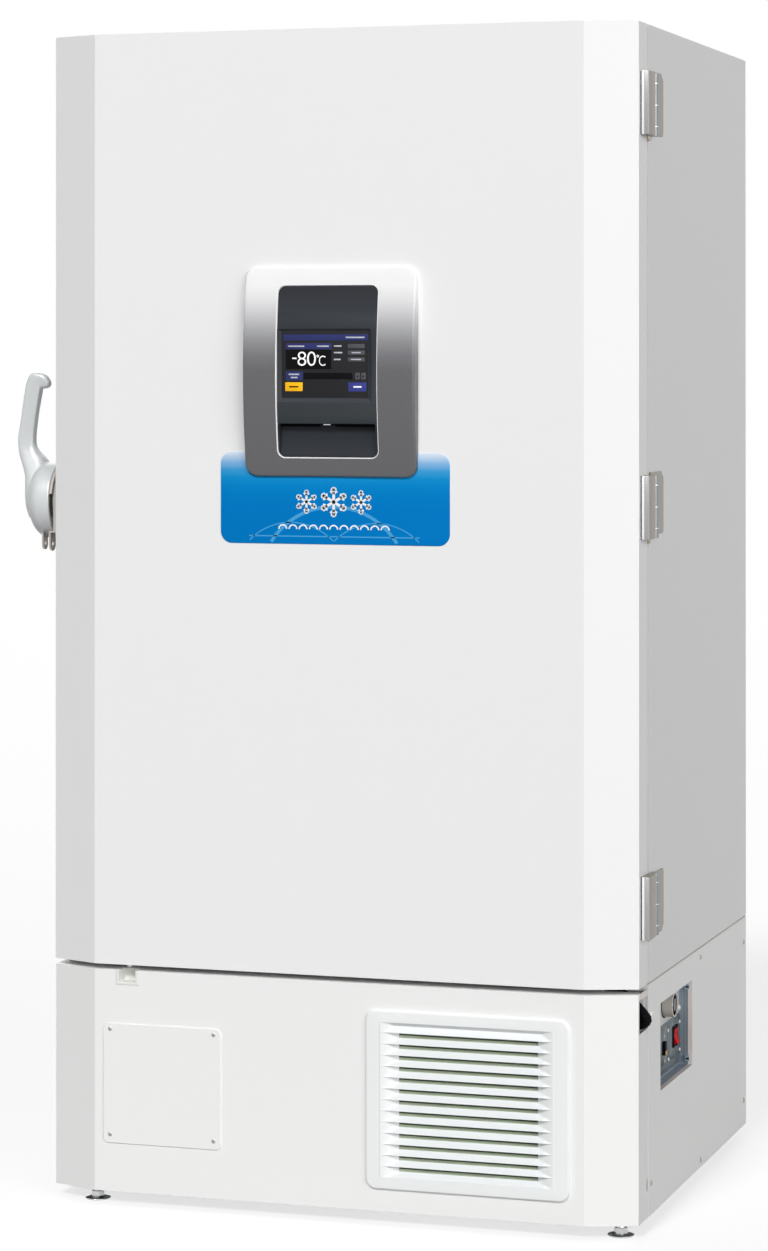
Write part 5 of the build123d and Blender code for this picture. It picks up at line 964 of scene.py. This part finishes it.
# The knob that turns in at the top: how far out, height above the pivot, half height, half depth, squareness
knobTable = np.array([
    (0.0720, 0.2070, 0.0150, 0.0098, 3.2), (0.0640, 0.2078, 0.0145, 0.0098, 3.2),
    (0.0575, 0.2068, 0.0138, 0.0097, 3.0), (0.0515, 0.2040, 0.0112, 0.0093, 2.8),
    (0.0470, 0.2015, 0.0080, 0.0086, 2.6), (0.0443, 0.2000, 0.0052, 0.0070, 2.4),
    (0.0428, 0.1992, 0.0018, 0.0034, 2.2),
])
# Cup and hub as how far out and radius
cupProfile = (
    (0.0700, 0.0), (0.0698, 0.016), (0.0692, 0.026), (0.0681, 0.034), (0.0662, 0.042), (0.0640, 0.048),
    (0.0608, 0.054), (0.0576, 0.058), (0.0542, 0.061), (0.0510, 0.063), (0.0458, 0.065), (0.0400, 0.0658),
    (0.0340, 0.066), (0.0205, 0.066), (0.0197, 0.0650), (0.0197, 0.0600), (0.0205, 0.0585), (0.0335, 0.0575),
    (0.0340, 0.0),
)
hubProfile = ((0.036, 0.0), (0.036, 0.014), (0.0205, 0.014), (0.0205, 0.0))
tabSizes = dict(out=0.0425, top=1.140, thick=0.003, y=front + 0.082, z=1.1185, half=0.0105, hole=0.0042)
# Raised rings of the latch base: radius, width, foot and top as how far out, first and last turn
baseRings = ((0.0566, 0.0085, 0.0108, 0.0152, 78, 282), (0.0642, 0.0040, 0.0146, 0.0192, 92, 168))
ringEase = 0.0008
# Rows and columns of the lever's parts; then the cell of the remesh and the smoothing that follows
leverSteps = dict(grip=110, around=64, knob=40, cup=128, hub=48, arc=64)
fusing = dict(cell=0.0011, factor=0.5, rounds=5)


def smoothTable(table, count):
    # a cubic through the rows of a table with slopes from the neighbours, evenly spaced in its parameter
    fine = np.linspace(0, len(table) - 1, count)
    slopes = np.gradient(table, axis=0)
    low = np.clip(fine.astype(int), 0, len(table) - 2)
    u = (fine - low)[:, None]
    a, b, m, n = table[low], table[low + 1], slopes[low], slopes[low + 1]
    return (
        a * (2 * u ** 3 - 3 * u ** 2 + 1) + m * (u ** 3 - 2 * u ** 2 + u)
        + b * (3 * u ** 2 - 2 * u ** 3) + n * (u ** 3 - u ** 2)
    )


def gripMesh(table):
    # level slices, each a rounded rectangle between the inner and the outer edge
    points = []
    for up, outer, inner, halfDepth, power in smoothTable(table, leverSteps["grip"]):
        ring = superellipse((outer - inner) / 2, halfDepth, power, leverSteps["around"])
        points.append(np.column_stack([
            left - (outer + inner) / 2 + ring[:, 0], pivot["y"] + ring[:, 1],
            np.full(len(ring), pivot["z"] + up),
        ]))
    return gridMesh("grip", np.array(points), closeColumns=True, angle=60)


def knobMesh(table):
    # upright slices along a short path towards the door
    rows = smoothTable(table, leverSteps["knob"])
    path = np.column_stack([left - rows[:, 0], np.full(len(rows), pivot["y"]), pivot["z"] + rows[:, 1]])
    return swept("knob", path, np.array([superellipse(r[2], r[3], r[4]) for r in rows]), 60)


def leverMesh():
    # cup, hub, grip and knob as closed forms, joined by the remesh that follows
    spot, axis = (left, pivot["y"], pivot["z"]), (-1, 0, 0)
    cup = revolved("cup", cupProfile, spot, axis, leverSteps["cup"], 40)
    hub = revolved("hub", hubProfile, spot, axis, leverSteps["hub"], 40)
    return joinMeshes("lever", [cup, hub, gripMesh(gripSlices), knobMesh(knobTable)], 60)


def tabMesh(sizes):
    # a strap with a round end pierced by a hole; rows are inner and outer outline on both faces
    s = sizes
    half, rise = s["half"], s["top"] - s["z"]
    turns = np.linspace(0, 2 * pi, leverSteps["around"], endpoint=False)
    outline = []
    for u, w in zip(np.cos(turns), np.sin(turns)):
        if w <= 0:
            outline.append((half * u, half * w))
        else:
            across = np.clip(u * rise / max(w, 1e-9), -half, half)
            outline.append((across, min(w * half / max(abs(u), 1e-9), rise)))
    ring = np.stack([s["hole"] * np.cos(turns), s["hole"] * np.sin(turns)], axis=-1)
    near, far = left - s["out"], left - s["out"] + s["thick"]
    rows = []
    for shape, x in ((ring, near), (np.array(outline), near), (np.array(outline), far), (ring, far)):
        rows.append(np.column_stack([np.full(len(shape), x), s["y"] + shape[:, 0], s["z"] + shape[:, 1]]))
    return gridMesh("tab", np.array(rows), closeRows=True, closeColumns=True, angle=30)


def ringArc(radius, width, low, high, start, stop):
    # a raised ring in front of the latch base, open towards the cabinet, its two top edges eased
    inner, ease = radius - width, ringEase
    section = ((low, inner), (high - ease, inner), (high, inner + ease), (high, radius - ease),
               (high - ease, radius), (low, radius))
    rows = [
        [(left - out, pivot["y"] + r * cos(t), pivot["z"] + r * sin(t)) for out, r in section]
        for t in np.radians(np.linspace(start, stop, leverSteps["arc"]))
    ]
    return gridMesh("ringArc", np.array(rows), closeColumns=True, angle=50)


lever = addPiece("leverCasting", leverMesh(), "leverSilver", "latch_lever", ("latch_lever",))
remesh = lever.modifiers.new("fuse", "REMESH")
remesh.mode = "VOXEL"
remesh.voxel_size = fusing["cell"]
remesh.use_smooth_shade = True
relax = lever.modifiers.new("relax", "SMOOTH")
relax.factor = fusing["factor"]
relax.iterations = fusing["rounds"]
addPiece("leverTab", tabMesh(tabSizes), "latchPlate", "latch_lever")
addPiece(
    "baseRing", joinMeshes("baseRing", [ringArc(*row) for row in baseRings], 50), "basePale", "latch_base"
)
print("lever made")

# Hinges: a cover on the door with a pale front and a brown-grey side, the pale front painted light, a white
# band along its edge by the door a painted highlight and the dark strip next to the door painted shadow of
# the gap, and knuckles with dark joints behind it
hingeSizes = dict(
    axisOut=0.008, axisBack=0.110, radius=0.0065, ease=0.0006, joint=0.0007, washer=0.0063,
    shares=(0.155, 0.493, 0.84), webOut=(0.0030, 0.0100), webBehind=(0.1005, 0.1060),
    leafBack=0.196, leafShift=0.0045, leafThick=0.0030, leafEase=0.0006, leafSlope=1.4, tip=0.002,
    tipEase=0.001, cutDeep=0.010, cutSmall=0.003, coverEase=0.0012, coverOut=0.0075, coverBehind=0.070,
    strip=0.0011, pinOut=0.0012, pinBehind=0.095, pinUp=0.0012,
)
hingeSpans = ((0.4861, 0.5901), (1.1426, 1.2470), (1.8075, 1.9121))
# Upright edges of a cover: how far out, how far behind the door's front, and the next strip's finish
# finish 4 on the first strips is painted shadow of the gap by the door, 2 a painted highlight, 1 the front
# painted light
coverEdges = (
    (0.0000, 0.0445, 4), (0.0012, 0.0428, 4), (0.0022, 0.0421, 2), (0.0062, 0.0420, 1), (0.0126, 0.0420, 1),
    (0.0141, 0.0425, 1), (0.0148, 0.0434, 0), (0.0150, 0.0450, 0), (0.0150, 0.0840, 0), (0.0146, 0.0875, 0),
    (0.0132, 0.0930, 0), (0.0108, 0.1022, 0), (0.0015, 0.1022, 0), (0.0015, 0.0920, 0), (0.0000, 0.0920, 0),
)
pinProfile = ((0.0, 0.0), (0.0, 0.0026), (0.0085, 0.0026), (0.0098, 0.0020), (0.0098, 0.0))


def coverMesh(low, high, edges, sizes):
    # rows run up the cover, drawn in by an ease at the rounded ends; returned with each face's finish
    s = sizes
    ease = s["coverEase"]
    out, behind = np.array([edge[:2] for edge in edges]).T
    rows = []
    for z, shrink in ((low, ease), (low + ease * 0.3, ease * 0.3), (low + ease, 0), (high - ease, 0),
                      (high - ease * 0.3, ease * 0.3), (high, ease)):
        o = out + np.clip(s["coverOut"] - out, -shrink, shrink) * (out > 0.0005)
        b = behind + np.clip(s["coverBehind"] - behind, -shrink, shrink)
        rows.append(np.column_stack([right + o, front + b, np.full(len(edges), z)]))
    mesh = gridMesh("cover", np.array(rows), closeColumns=True, angle=25)
    centers = np.empty(len(mesh.polygons) * 3)
    mesh.polygons.foreach_get("center", centers)
    x, y = centers.reshape(-1, 3).T[:2]
    finish = np.zeros(len(x), dtype=int)
    for i in range(len(edges) - 1):
        middleX, middleY = right + (out[i] + out[i + 1]) / 2, front + (behind[i] + behind[i + 1]) / 2
        finish[(np.abs(x - middleX) < s["strip"]) & (np.abs(y - middleY) < s["strip"])] = edges[i][2]
    return mesh, finish


def onAxis(name, profile, z, sizes, count):
    # a profile of (along, radius) turned about the hinges' axis, from the height z upwards
    spot = (right + sizes["axisOut"], front + sizes["axisBack"], z)
    return revolved(name, profile, spot, (0, 0, 1), count, 40)


def knuckleMesh(low, high, sizes):
    # an upright barrel with eased ends
    r, ease, length = sizes["radius"], sizes["ease"], high - low
    profile = ((0.0, 0.0), (0.0, r - ease), (ease, r), (length - ease, r), (length, r - ease), (length, 0.0))
    return onAxis("knuckle", profile, low, sizes, 48)


def doorHinges(sizes, spans):
    # covers, the door's knuckles with their webs, and dark washers in the joints
    s = sizes
    meshes = []
    washer = ((-s["joint"], 0.0), (-s["joint"], s["washer"]), (s["joint"], s["washer"]), (s["joint"], 0.0))
    for low, high in spans:
        meshes.append(coverMesh(low, high, coverEdges, s))
        cuts = [low + share * (high - low) for share in s["shares"]]
        for a, b in ((cuts[0] + s["joint"], cuts[1] - s["joint"]), (cuts[2] + s["joint"], high)):
            meshes.append((knuckleMesh(a, b, s), 3))
            meshes.append((box(right + s["webOut"][0], right + s["webOut"][1], front + s["webBehind"][0],
                               front + s["webBehind"][1], a, b), 0))
        meshes += [(onAxis("washer", washer, cut, s, 32), 2) for cut in cuts]
    return joinMeshes("doorHinges", meshes, 25)


def leafMesh(low, high, cutHigh, cutLow, sizes):
    # a thin plate on the cabinet's side from under the knuckles to the back, its back corners cut
    s = sizes
    foot, tail = front + s["axisBack"] - s["radius"], front + s["leafBack"]
    lowZ, highZ = low + cutLow, high - cutHigh
    shape = [
        (foot, low), (tail - cutLow * s["leafSlope"], low), (tail - s["tipEase"], lowZ),
        (tail, lowZ + s["tip"]), (tail, highZ - s["tip"]), (tail - s["tipEase"], highZ),
        (tail - cutHigh * s["leafSlope"], high), (foot, high),
    ]
    center = np.mean(shape, axis=0)
    rows = []
    for out, inset in ((0.0, 0.0), (s["leafThick"] - s["leafEase"], 0.0), (s["leafThick"], s["leafEase"])):
        inner = shape + np.clip(center - shape, -inset, inset)
        rows.append(np.column_stack([np.full(len(shape), right + out), inner]))
    return gridMesh("leaf", np.array(rows), closeColumns=True, angle=30)


def cabinetHinges(sizes, spans):
    # one leaf for each cover, mirrored at the lowest, and the knuckles between the door's
    s = sizes
    meshes = []
    for i, (low, high) in enumerate(spans):
        shift, cuts = s["leafShift"], (s["cutDeep"], s["cutSmall"])
        if i == 0:
            shift, cuts = -shift, cuts[::-1]
        meshes.append(leafMesh(low + shift, high + shift, *cuts, s))
        joints = [low + share * (high - low) for share in s["shares"]]
        for a, b in ((low, joints[0] - s["joint"]), (joints[1] + s["joint"], joints[2] - s["joint"])):
            meshes.append((knuckleMesh(a, b, s), 1))
    return joinMeshes("cabinetHinges", meshes, 30)


def hingePins(sizes, spans):
    # the lower end of each pin, just below its cover
    s = sizes
    spots = [(right + s["pinOut"], front + s["pinBehind"], low + s["pinUp"]) for low, high in spans]
    return joinMeshes("hingePins", [revolved("pin", pinProfile, spot, (0, 0, -1), 24) for spot in spots])


addPiece(
    "doorHinges", doorHinges(hingeSizes, hingeSpans),
    ["hingeSatin", "hingePale", "hingeBright", "knuckleGrey", "hingeShade"], "door_hinge_leaves",
    ("door_hinge_leaves",),
)
addPiece("cabinetHinges", cabinetHinges(hingeSizes, hingeSpans), ["hingeSatin", "knuckleGrey"],
         "cabinet_hinge_leaves", ("cabinet_hinge_leaves",))
addPiece("hingePins", hingePins(hingeSizes, hingeSpans), "pinBrass", "cabinet_hinge_leaves")
print("hinges made")

# Gasket: a soft hollow-looking profile carried round the door's edge
gasketSizes = dict(inset=0.003, width=0.026, corner=0.006, spread=0.1, arc=6, run=2)
gasketProfile = (
    (0.0000, 0.0000), (0.0000, 0.0014), (0.0016, 0.0020), (0.0022, 0.0028), (0.0006, 0.0040),
    (0.0004, 0.0050), (0.0022, 0.0058), (0.0100, 0.0059), (0.0160, 0.0059), (0.0236, 0.0058),
    (0.0256, 0.0050), (0.0254, 0.0040), (0.0238, 0.0028), (0.0244, 0.0020), (0.0260, 0.0014),
    (0.0260, 0.0000),
)


def gasketMesh(sizes, profile):
    # one outline for each point of the profile: inset from the door's edge, and depth behind its back
    s = sizes
    rows = []
    for inset, depth in profile:
        far = s["inset"] + inset
        ring = roundedRectangle(
            left + far, right - far, cabinet["doorLow"] + far, cabinet["height"] - far,
            s["corner"] + (s["width"] - inset) * s["spread"], s["arc"], s["run"],
        )
        rows.append(standing(ring, doorBack + depth))
    return gridMesh("gasket", np.array(rows), closeRows=True, closeColumns=True, angle=60)


addPiece(
    "doorGasket", gasketMesh(gasketSizes, gasketProfile), "gasketRubber", "door_gasket", ("door_gasket",)
)
print("gasket made")

# Ribbed conduit: a loop that leans out of the notch to a narrow tip, its radius rippling along the way
conduitSizes = dict(radius=0.0099, rib=0.0007, pitch=0.0028, crest=1.1, rows=500)
# Its path: how far inside the cabinet's side, how far behind the door's front, and the height
conduitPath = np.array([
    (0.0650, 0.0680, 0.3950), (0.0480, 0.0680, 0.3945), (0.0300, 0.0680, 0.3870), (0.0160, 0.0685, 0.3745),
    (0.0040, 0.0690, 0.3615), (-0.0012, 0.0710, 0.3525), (0.0050, 0.0740, 0.3460), (0.0220, 0.0745, 0.3430),
    (0.0440, 0.0730, 0.3350), (0.0650, 0.0720, 0.3290),
])
seamSizes = dict(deep=0.0020, near=0.0008, end=0.002, low=0.4050, high=0.4080)
notchSizes = dict(deep=0.0011, near=0.0007, front=0.038, back=0.096, low=0.3885, high=0.3983)


def conduitMesh(sizes, table):
    # radius + rib times the ripple, a sine of the length along the path cut off at 0 and 1
    s = sizes
    rows = smoothTable(table, s["rows"])
    path = np.column_stack([right - rows[:, 0], front + rows[:, 1], rows[:, 2]])
    along = np.concatenate([[0], np.cumsum(np.linalg.norm(np.diff(path, axis=0), axis=1))])
    ripple = np.clip(0.5 + s["crest"] * np.sin(2 * pi * along / s["pitch"]), 0, 1)
    sections = [superellipse(radius, radius, 2, 32) for radius in s["radius"] + s["rib"] * ripple]
    return swept("conduit", path, np.array(sections), 70)


def sideSeams(sizes):
    # a thin strip in the seam between cabinet and base at both sides
    s = sizes
    spans = ((right - s["deep"], right - s["near"]), (left + s["near"], left + s["deep"]))
    return joinMeshes("sideSeams", [
        box(x0, x1, cabinetFront, back - s["end"], s["low"], s["high"]) for x0, x1 in spans
    ])


def notchTop(sizes):
    # the pale edge over the conduit's notch, its beige painted reflected light
    s = sizes
    return box(
        right - s["deep"], right - s["near"], front + s["front"], front + s["back"], s["low"], s["high"]
    )


addPiece("ribbedConduit", conduitMesh(conduitSizes, conduitPath), "blackPlastic", "door_conduit",
         ("door_conduit",))
addPiece("sideSeams", sideSeams(seamSizes), "seamShade", "cabinet_shell")
addPiece("notchTop", notchTop(notchSizes), "lipBeige", "front_panel")
print("conduit made")

# Screws: a low dome with a cross sunk into it
screwShape = dict(slit=0.16, reach=0.62, sink=0.45, bow=0.92)
screwShares = np.array([0.0, 0.08, 0.16, 0.22, 0.3, 0.4, 0.5, 0.6, 0.66, 0.76, 0.86, 0.94, 1.0])
# Radius and rise of their heads
screwHeads = dict(
    side=(0.0046, 0.0024), cover=(0.0036, 0.0015), plate=(0.0033, 0.0022), port=(0.0052, 0.0034),
    corner=(0.0052, 0.0036),
)
sideScrews = (
    (-0.325, 0.354), (-0.3255, 0.074), (0.052, 0.3896), (0.052, 0.034), (0.4185, 0.3605), (0.4185, 0.0685),
)
coverScrews = [(middle + shift, z) for shift in (-0.401, -0.2135) for z in (0.1185, 0.298)]
screwSink, coverRise = 0.0001, 0.0009


def screwMesh(spot, axis, head):
    # height = rise times the root of 1 - (share of the radius times bow) squared, less the sink in the cross
    s, (radius, rise) = screwShape, head
    towards = Vector(axis).normalized()
    side = towards.orthogonal().normalized()
    other = towards.cross(side)
    turns = np.linspace(0, 2 * pi, 48, endpoint=False)
    r, t = np.meshgrid(screwShares, turns, indexing="ij")
    u, w = r * np.cos(t), r * np.sin(t)
    height = rise * np.sqrt(np.clip(1 - (r * s["bow"]) ** 2, 0, 1))
    cross = ((np.abs(u) < s["slit"]) & (np.abs(w) < s["reach"])) | (
        (np.abs(w) < s["slit"]) & (np.abs(u) < s["reach"]))
    height = np.where(cross, height - rise * s["sink"], height)
    u, w = np.vstack([u, u[-1:]]), np.vstack([w, w[-1:]])
    height = np.vstack([height, np.zeros((1, len(turns)))])
    points = (
        np.array(spot) + (u * radius)[:, :, None] * np.array(side)
        + (w * radius)[:, :, None] * np.array(other) + height[:, :, None] * np.array(towards)
    )
    return gridMesh("screw", points, closeColumns=True, angle=28)


screws = [screwMesh((right - screwSink, y, z), (1, 0, 0), screwHeads["side"]) for y, z in sideScrews[1:]]
screws += [screwMesh((left + screwSink, y, z), (-1, 0, 0), screwHeads["side"]) for y, z in sideScrews]
screws += [screwMesh((x, front - coverRise, z), (0, -1, 0), screwHeads["cover"]) for x, z in coverScrews]
addPiece(
    "panelScrews", joinMeshes("panelScrews", screws, 28), "screwMetal", "panel_screws", ("panel_screws",)
)

# Service recess: its pale lip with two hooks, the lip's beige painted reflected light, the plates in two
# shades, the port, the push foot and screws
recessSizes = dict(
    front=front + 0.185, back=front + 0.429, low=0.213, high=0.3595, deep=0.0225, lip=0.0085, upperLow=0.3035,
    thin=0.0004, apart=0.00005, edgeGap=0.0002, seam=0.0012, behind=0.0150, portY=front + 0.310,
    portZ=0.3365, portRadius=0.0210, portReach=0.019, plate=0.0015,
)
recessFloor = right - recessSizes["deep"] + recessSizes["plate"]
# Hooks: their feet's heights, then boxes about the lip's edge, the recess's back and the foot, and the finish
hookFeet = (recessSizes["low"] + 0.006, recessSizes["high"] - 0.016)
hookBoxes = (
    (-0.004, 0.003, -0.006, -0.0005, 0.0, 0.010, 1), (-0.002, 0.0034, -0.0062, -0.004, 0.003, 0.0065, 2),
)
# Push foot: inside the cabinet's side, behind the door's front, and heights
buttonBox = (right - 0.0155, right - 0.0142, front + 0.2865, front + 0.2965, 0.2535, 0.2605)
# Screws in the recess: place behind the middle, height and face
recessScrews = (
    (-0.022, 0.288, recessFloor), (-0.022, 0.240, recessFloor), (-0.110, 0.288, recessFloor),
    (-0.108, 0.238, recessFloor), (-0.137, 0.283, recessFloor - recessSizes["plate"]),
    (-0.133, 0.2395, recessFloor - recessSizes["plate"]),
)
portScrew = (recessFloor - 0.0016, -0.020, 0.312)


def recessLip(sizes):
    # the pale edge along the recess's back and foot, its beige painted reflected light, a dark seam behind
    # it, and two hooks in its corners
    s = sizes
    edge, end, inner = right - s["lip"], right - s["edgeGap"], right - s["behind"]
    nearEnd, backEnd, low, high = s["back"] - s["thin"], s["back"] - s["apart"], s["low"], s["high"]
    meshes = [
        box(edge, end, nearEnd, backEnd, low, high),
        box(edge, end, s["front"], nearEnd, low + s["apart"], low + s["thin"]),
        (box(edge - s["seam"], edge, nearEnd, backEnd, low, high), 2),
        (box(inner, inner + s["thin"], nearEnd, backEnd, low, high), 2),
    ]
    for z in hookFeet:
        for x0, x1, y0, y1, z0, z1, finish in hookBoxes:
            meshes.append((box(edge + x0, edge + x1, s["back"] + y0, s["back"] + y1, z + z0, z + z1), finish))
    return joinMeshes("recessLip", meshes)


def platesMesh(sizes):
    # the service plates as built: the upper one pale, the others darker
    mesh = copied("service_plates")
    mesh.polygons.foreach_set("material_index", [int(p.center[2] > sizes["upperLow"]) for p in mesh.polygons])
    return smoothMesh(mesh, 40)


def portMesh(sizes):
    # a short barrel, a dark groove and a grey core in its face, its foot ring, and a pale rim: profiles of
    # how far out and radius, each with its finish; the foot ring is black as painted shadow of the gap round
    # the port, and the core's grey glows a little as painted light
    s = sizes
    r, reach = s["portRadius"], s["portReach"]
    parts = (
        (((0.0, 0.0), (0.0, r), (reach - 0.0012, r), (reach - 0.0004, r - 0.0003), (reach, r - 0.0010),
          (reach, r - 0.0022), (reach - 0.0020, r - 0.0030), (reach - 0.0020, 0.0)), 0),
        (((reach - 0.0021, 0.0), (reach - 0.0021, r - 0.0030), (reach - 0.0012, r - 0.0030),
          (reach - 0.0012, 0.0)), 1),
        # the core in the screen's grey, whose small glow is painted light
        (((reach - 0.0018, 0.0), (reach - 0.0018, r * 0.52), (reach - 0.0004, r * 0.52),
          (reach + 0.0002, r * 0.46), (reach - 0.0004, r * 0.36), (reach - 0.0004, 0.0)), 2),
        # the foot ring, black as painted shadow of the gap round the port
        (((0.0, 0.0), (0.0, r + 0.0024), (0.0006, r + 0.0024), (0.0006, 0.0)), 1),
        (((reach - 0.0010, r - 0.0016), (reach - 0.0010, r - 0.0002), (reach + 0.0002, r - 0.0007),
          (reach + 0.0002, r - 0.0016)), 3),
    )
    spot = (right - s["deep"], s["portY"], s["portZ"])
    return joinMeshes("port", [
        (revolved("port", profile, spot, (1, 0, 0), 64, 40, finish == 3), finish) for profile, finish in parts
    ])


addPiece("recessLip", recessLip(recessSizes), ["lipBeige", "hookBlue", "hingeShade"], "service_box")
addPiece("servicePlates", platesMesh(recessSizes), ["recessPlate", "recessPale"], "service_plates",
         ("service_plates",))
addPiece(
    "signalPort", portMesh(recessSizes), ["portGrey", "slotBlack", "screenGrey", "edgeWhite"], "signal_port",
    ("signal_port",),
)
addPiece("buttonFoot", box(*buttonBox), "buttonYellow", "switch_housings")
inner = [screwMesh((x - screwSink, y, z), (1, 0, 0), screwHeads["plate"]) for y, z, x in recessScrews]
inner.append(screwMesh(portScrew, (1, 0, 0), screwHeads["port"]))
inner.append(screwMesh((right - screwSink, *sideScrews[0]), (1, 0, 0), screwHeads["corner"]))
addPiece("recessScrews", joinMeshes("recessScrews", inner, 28), "screwCream", "service_plates")
print("screws made")
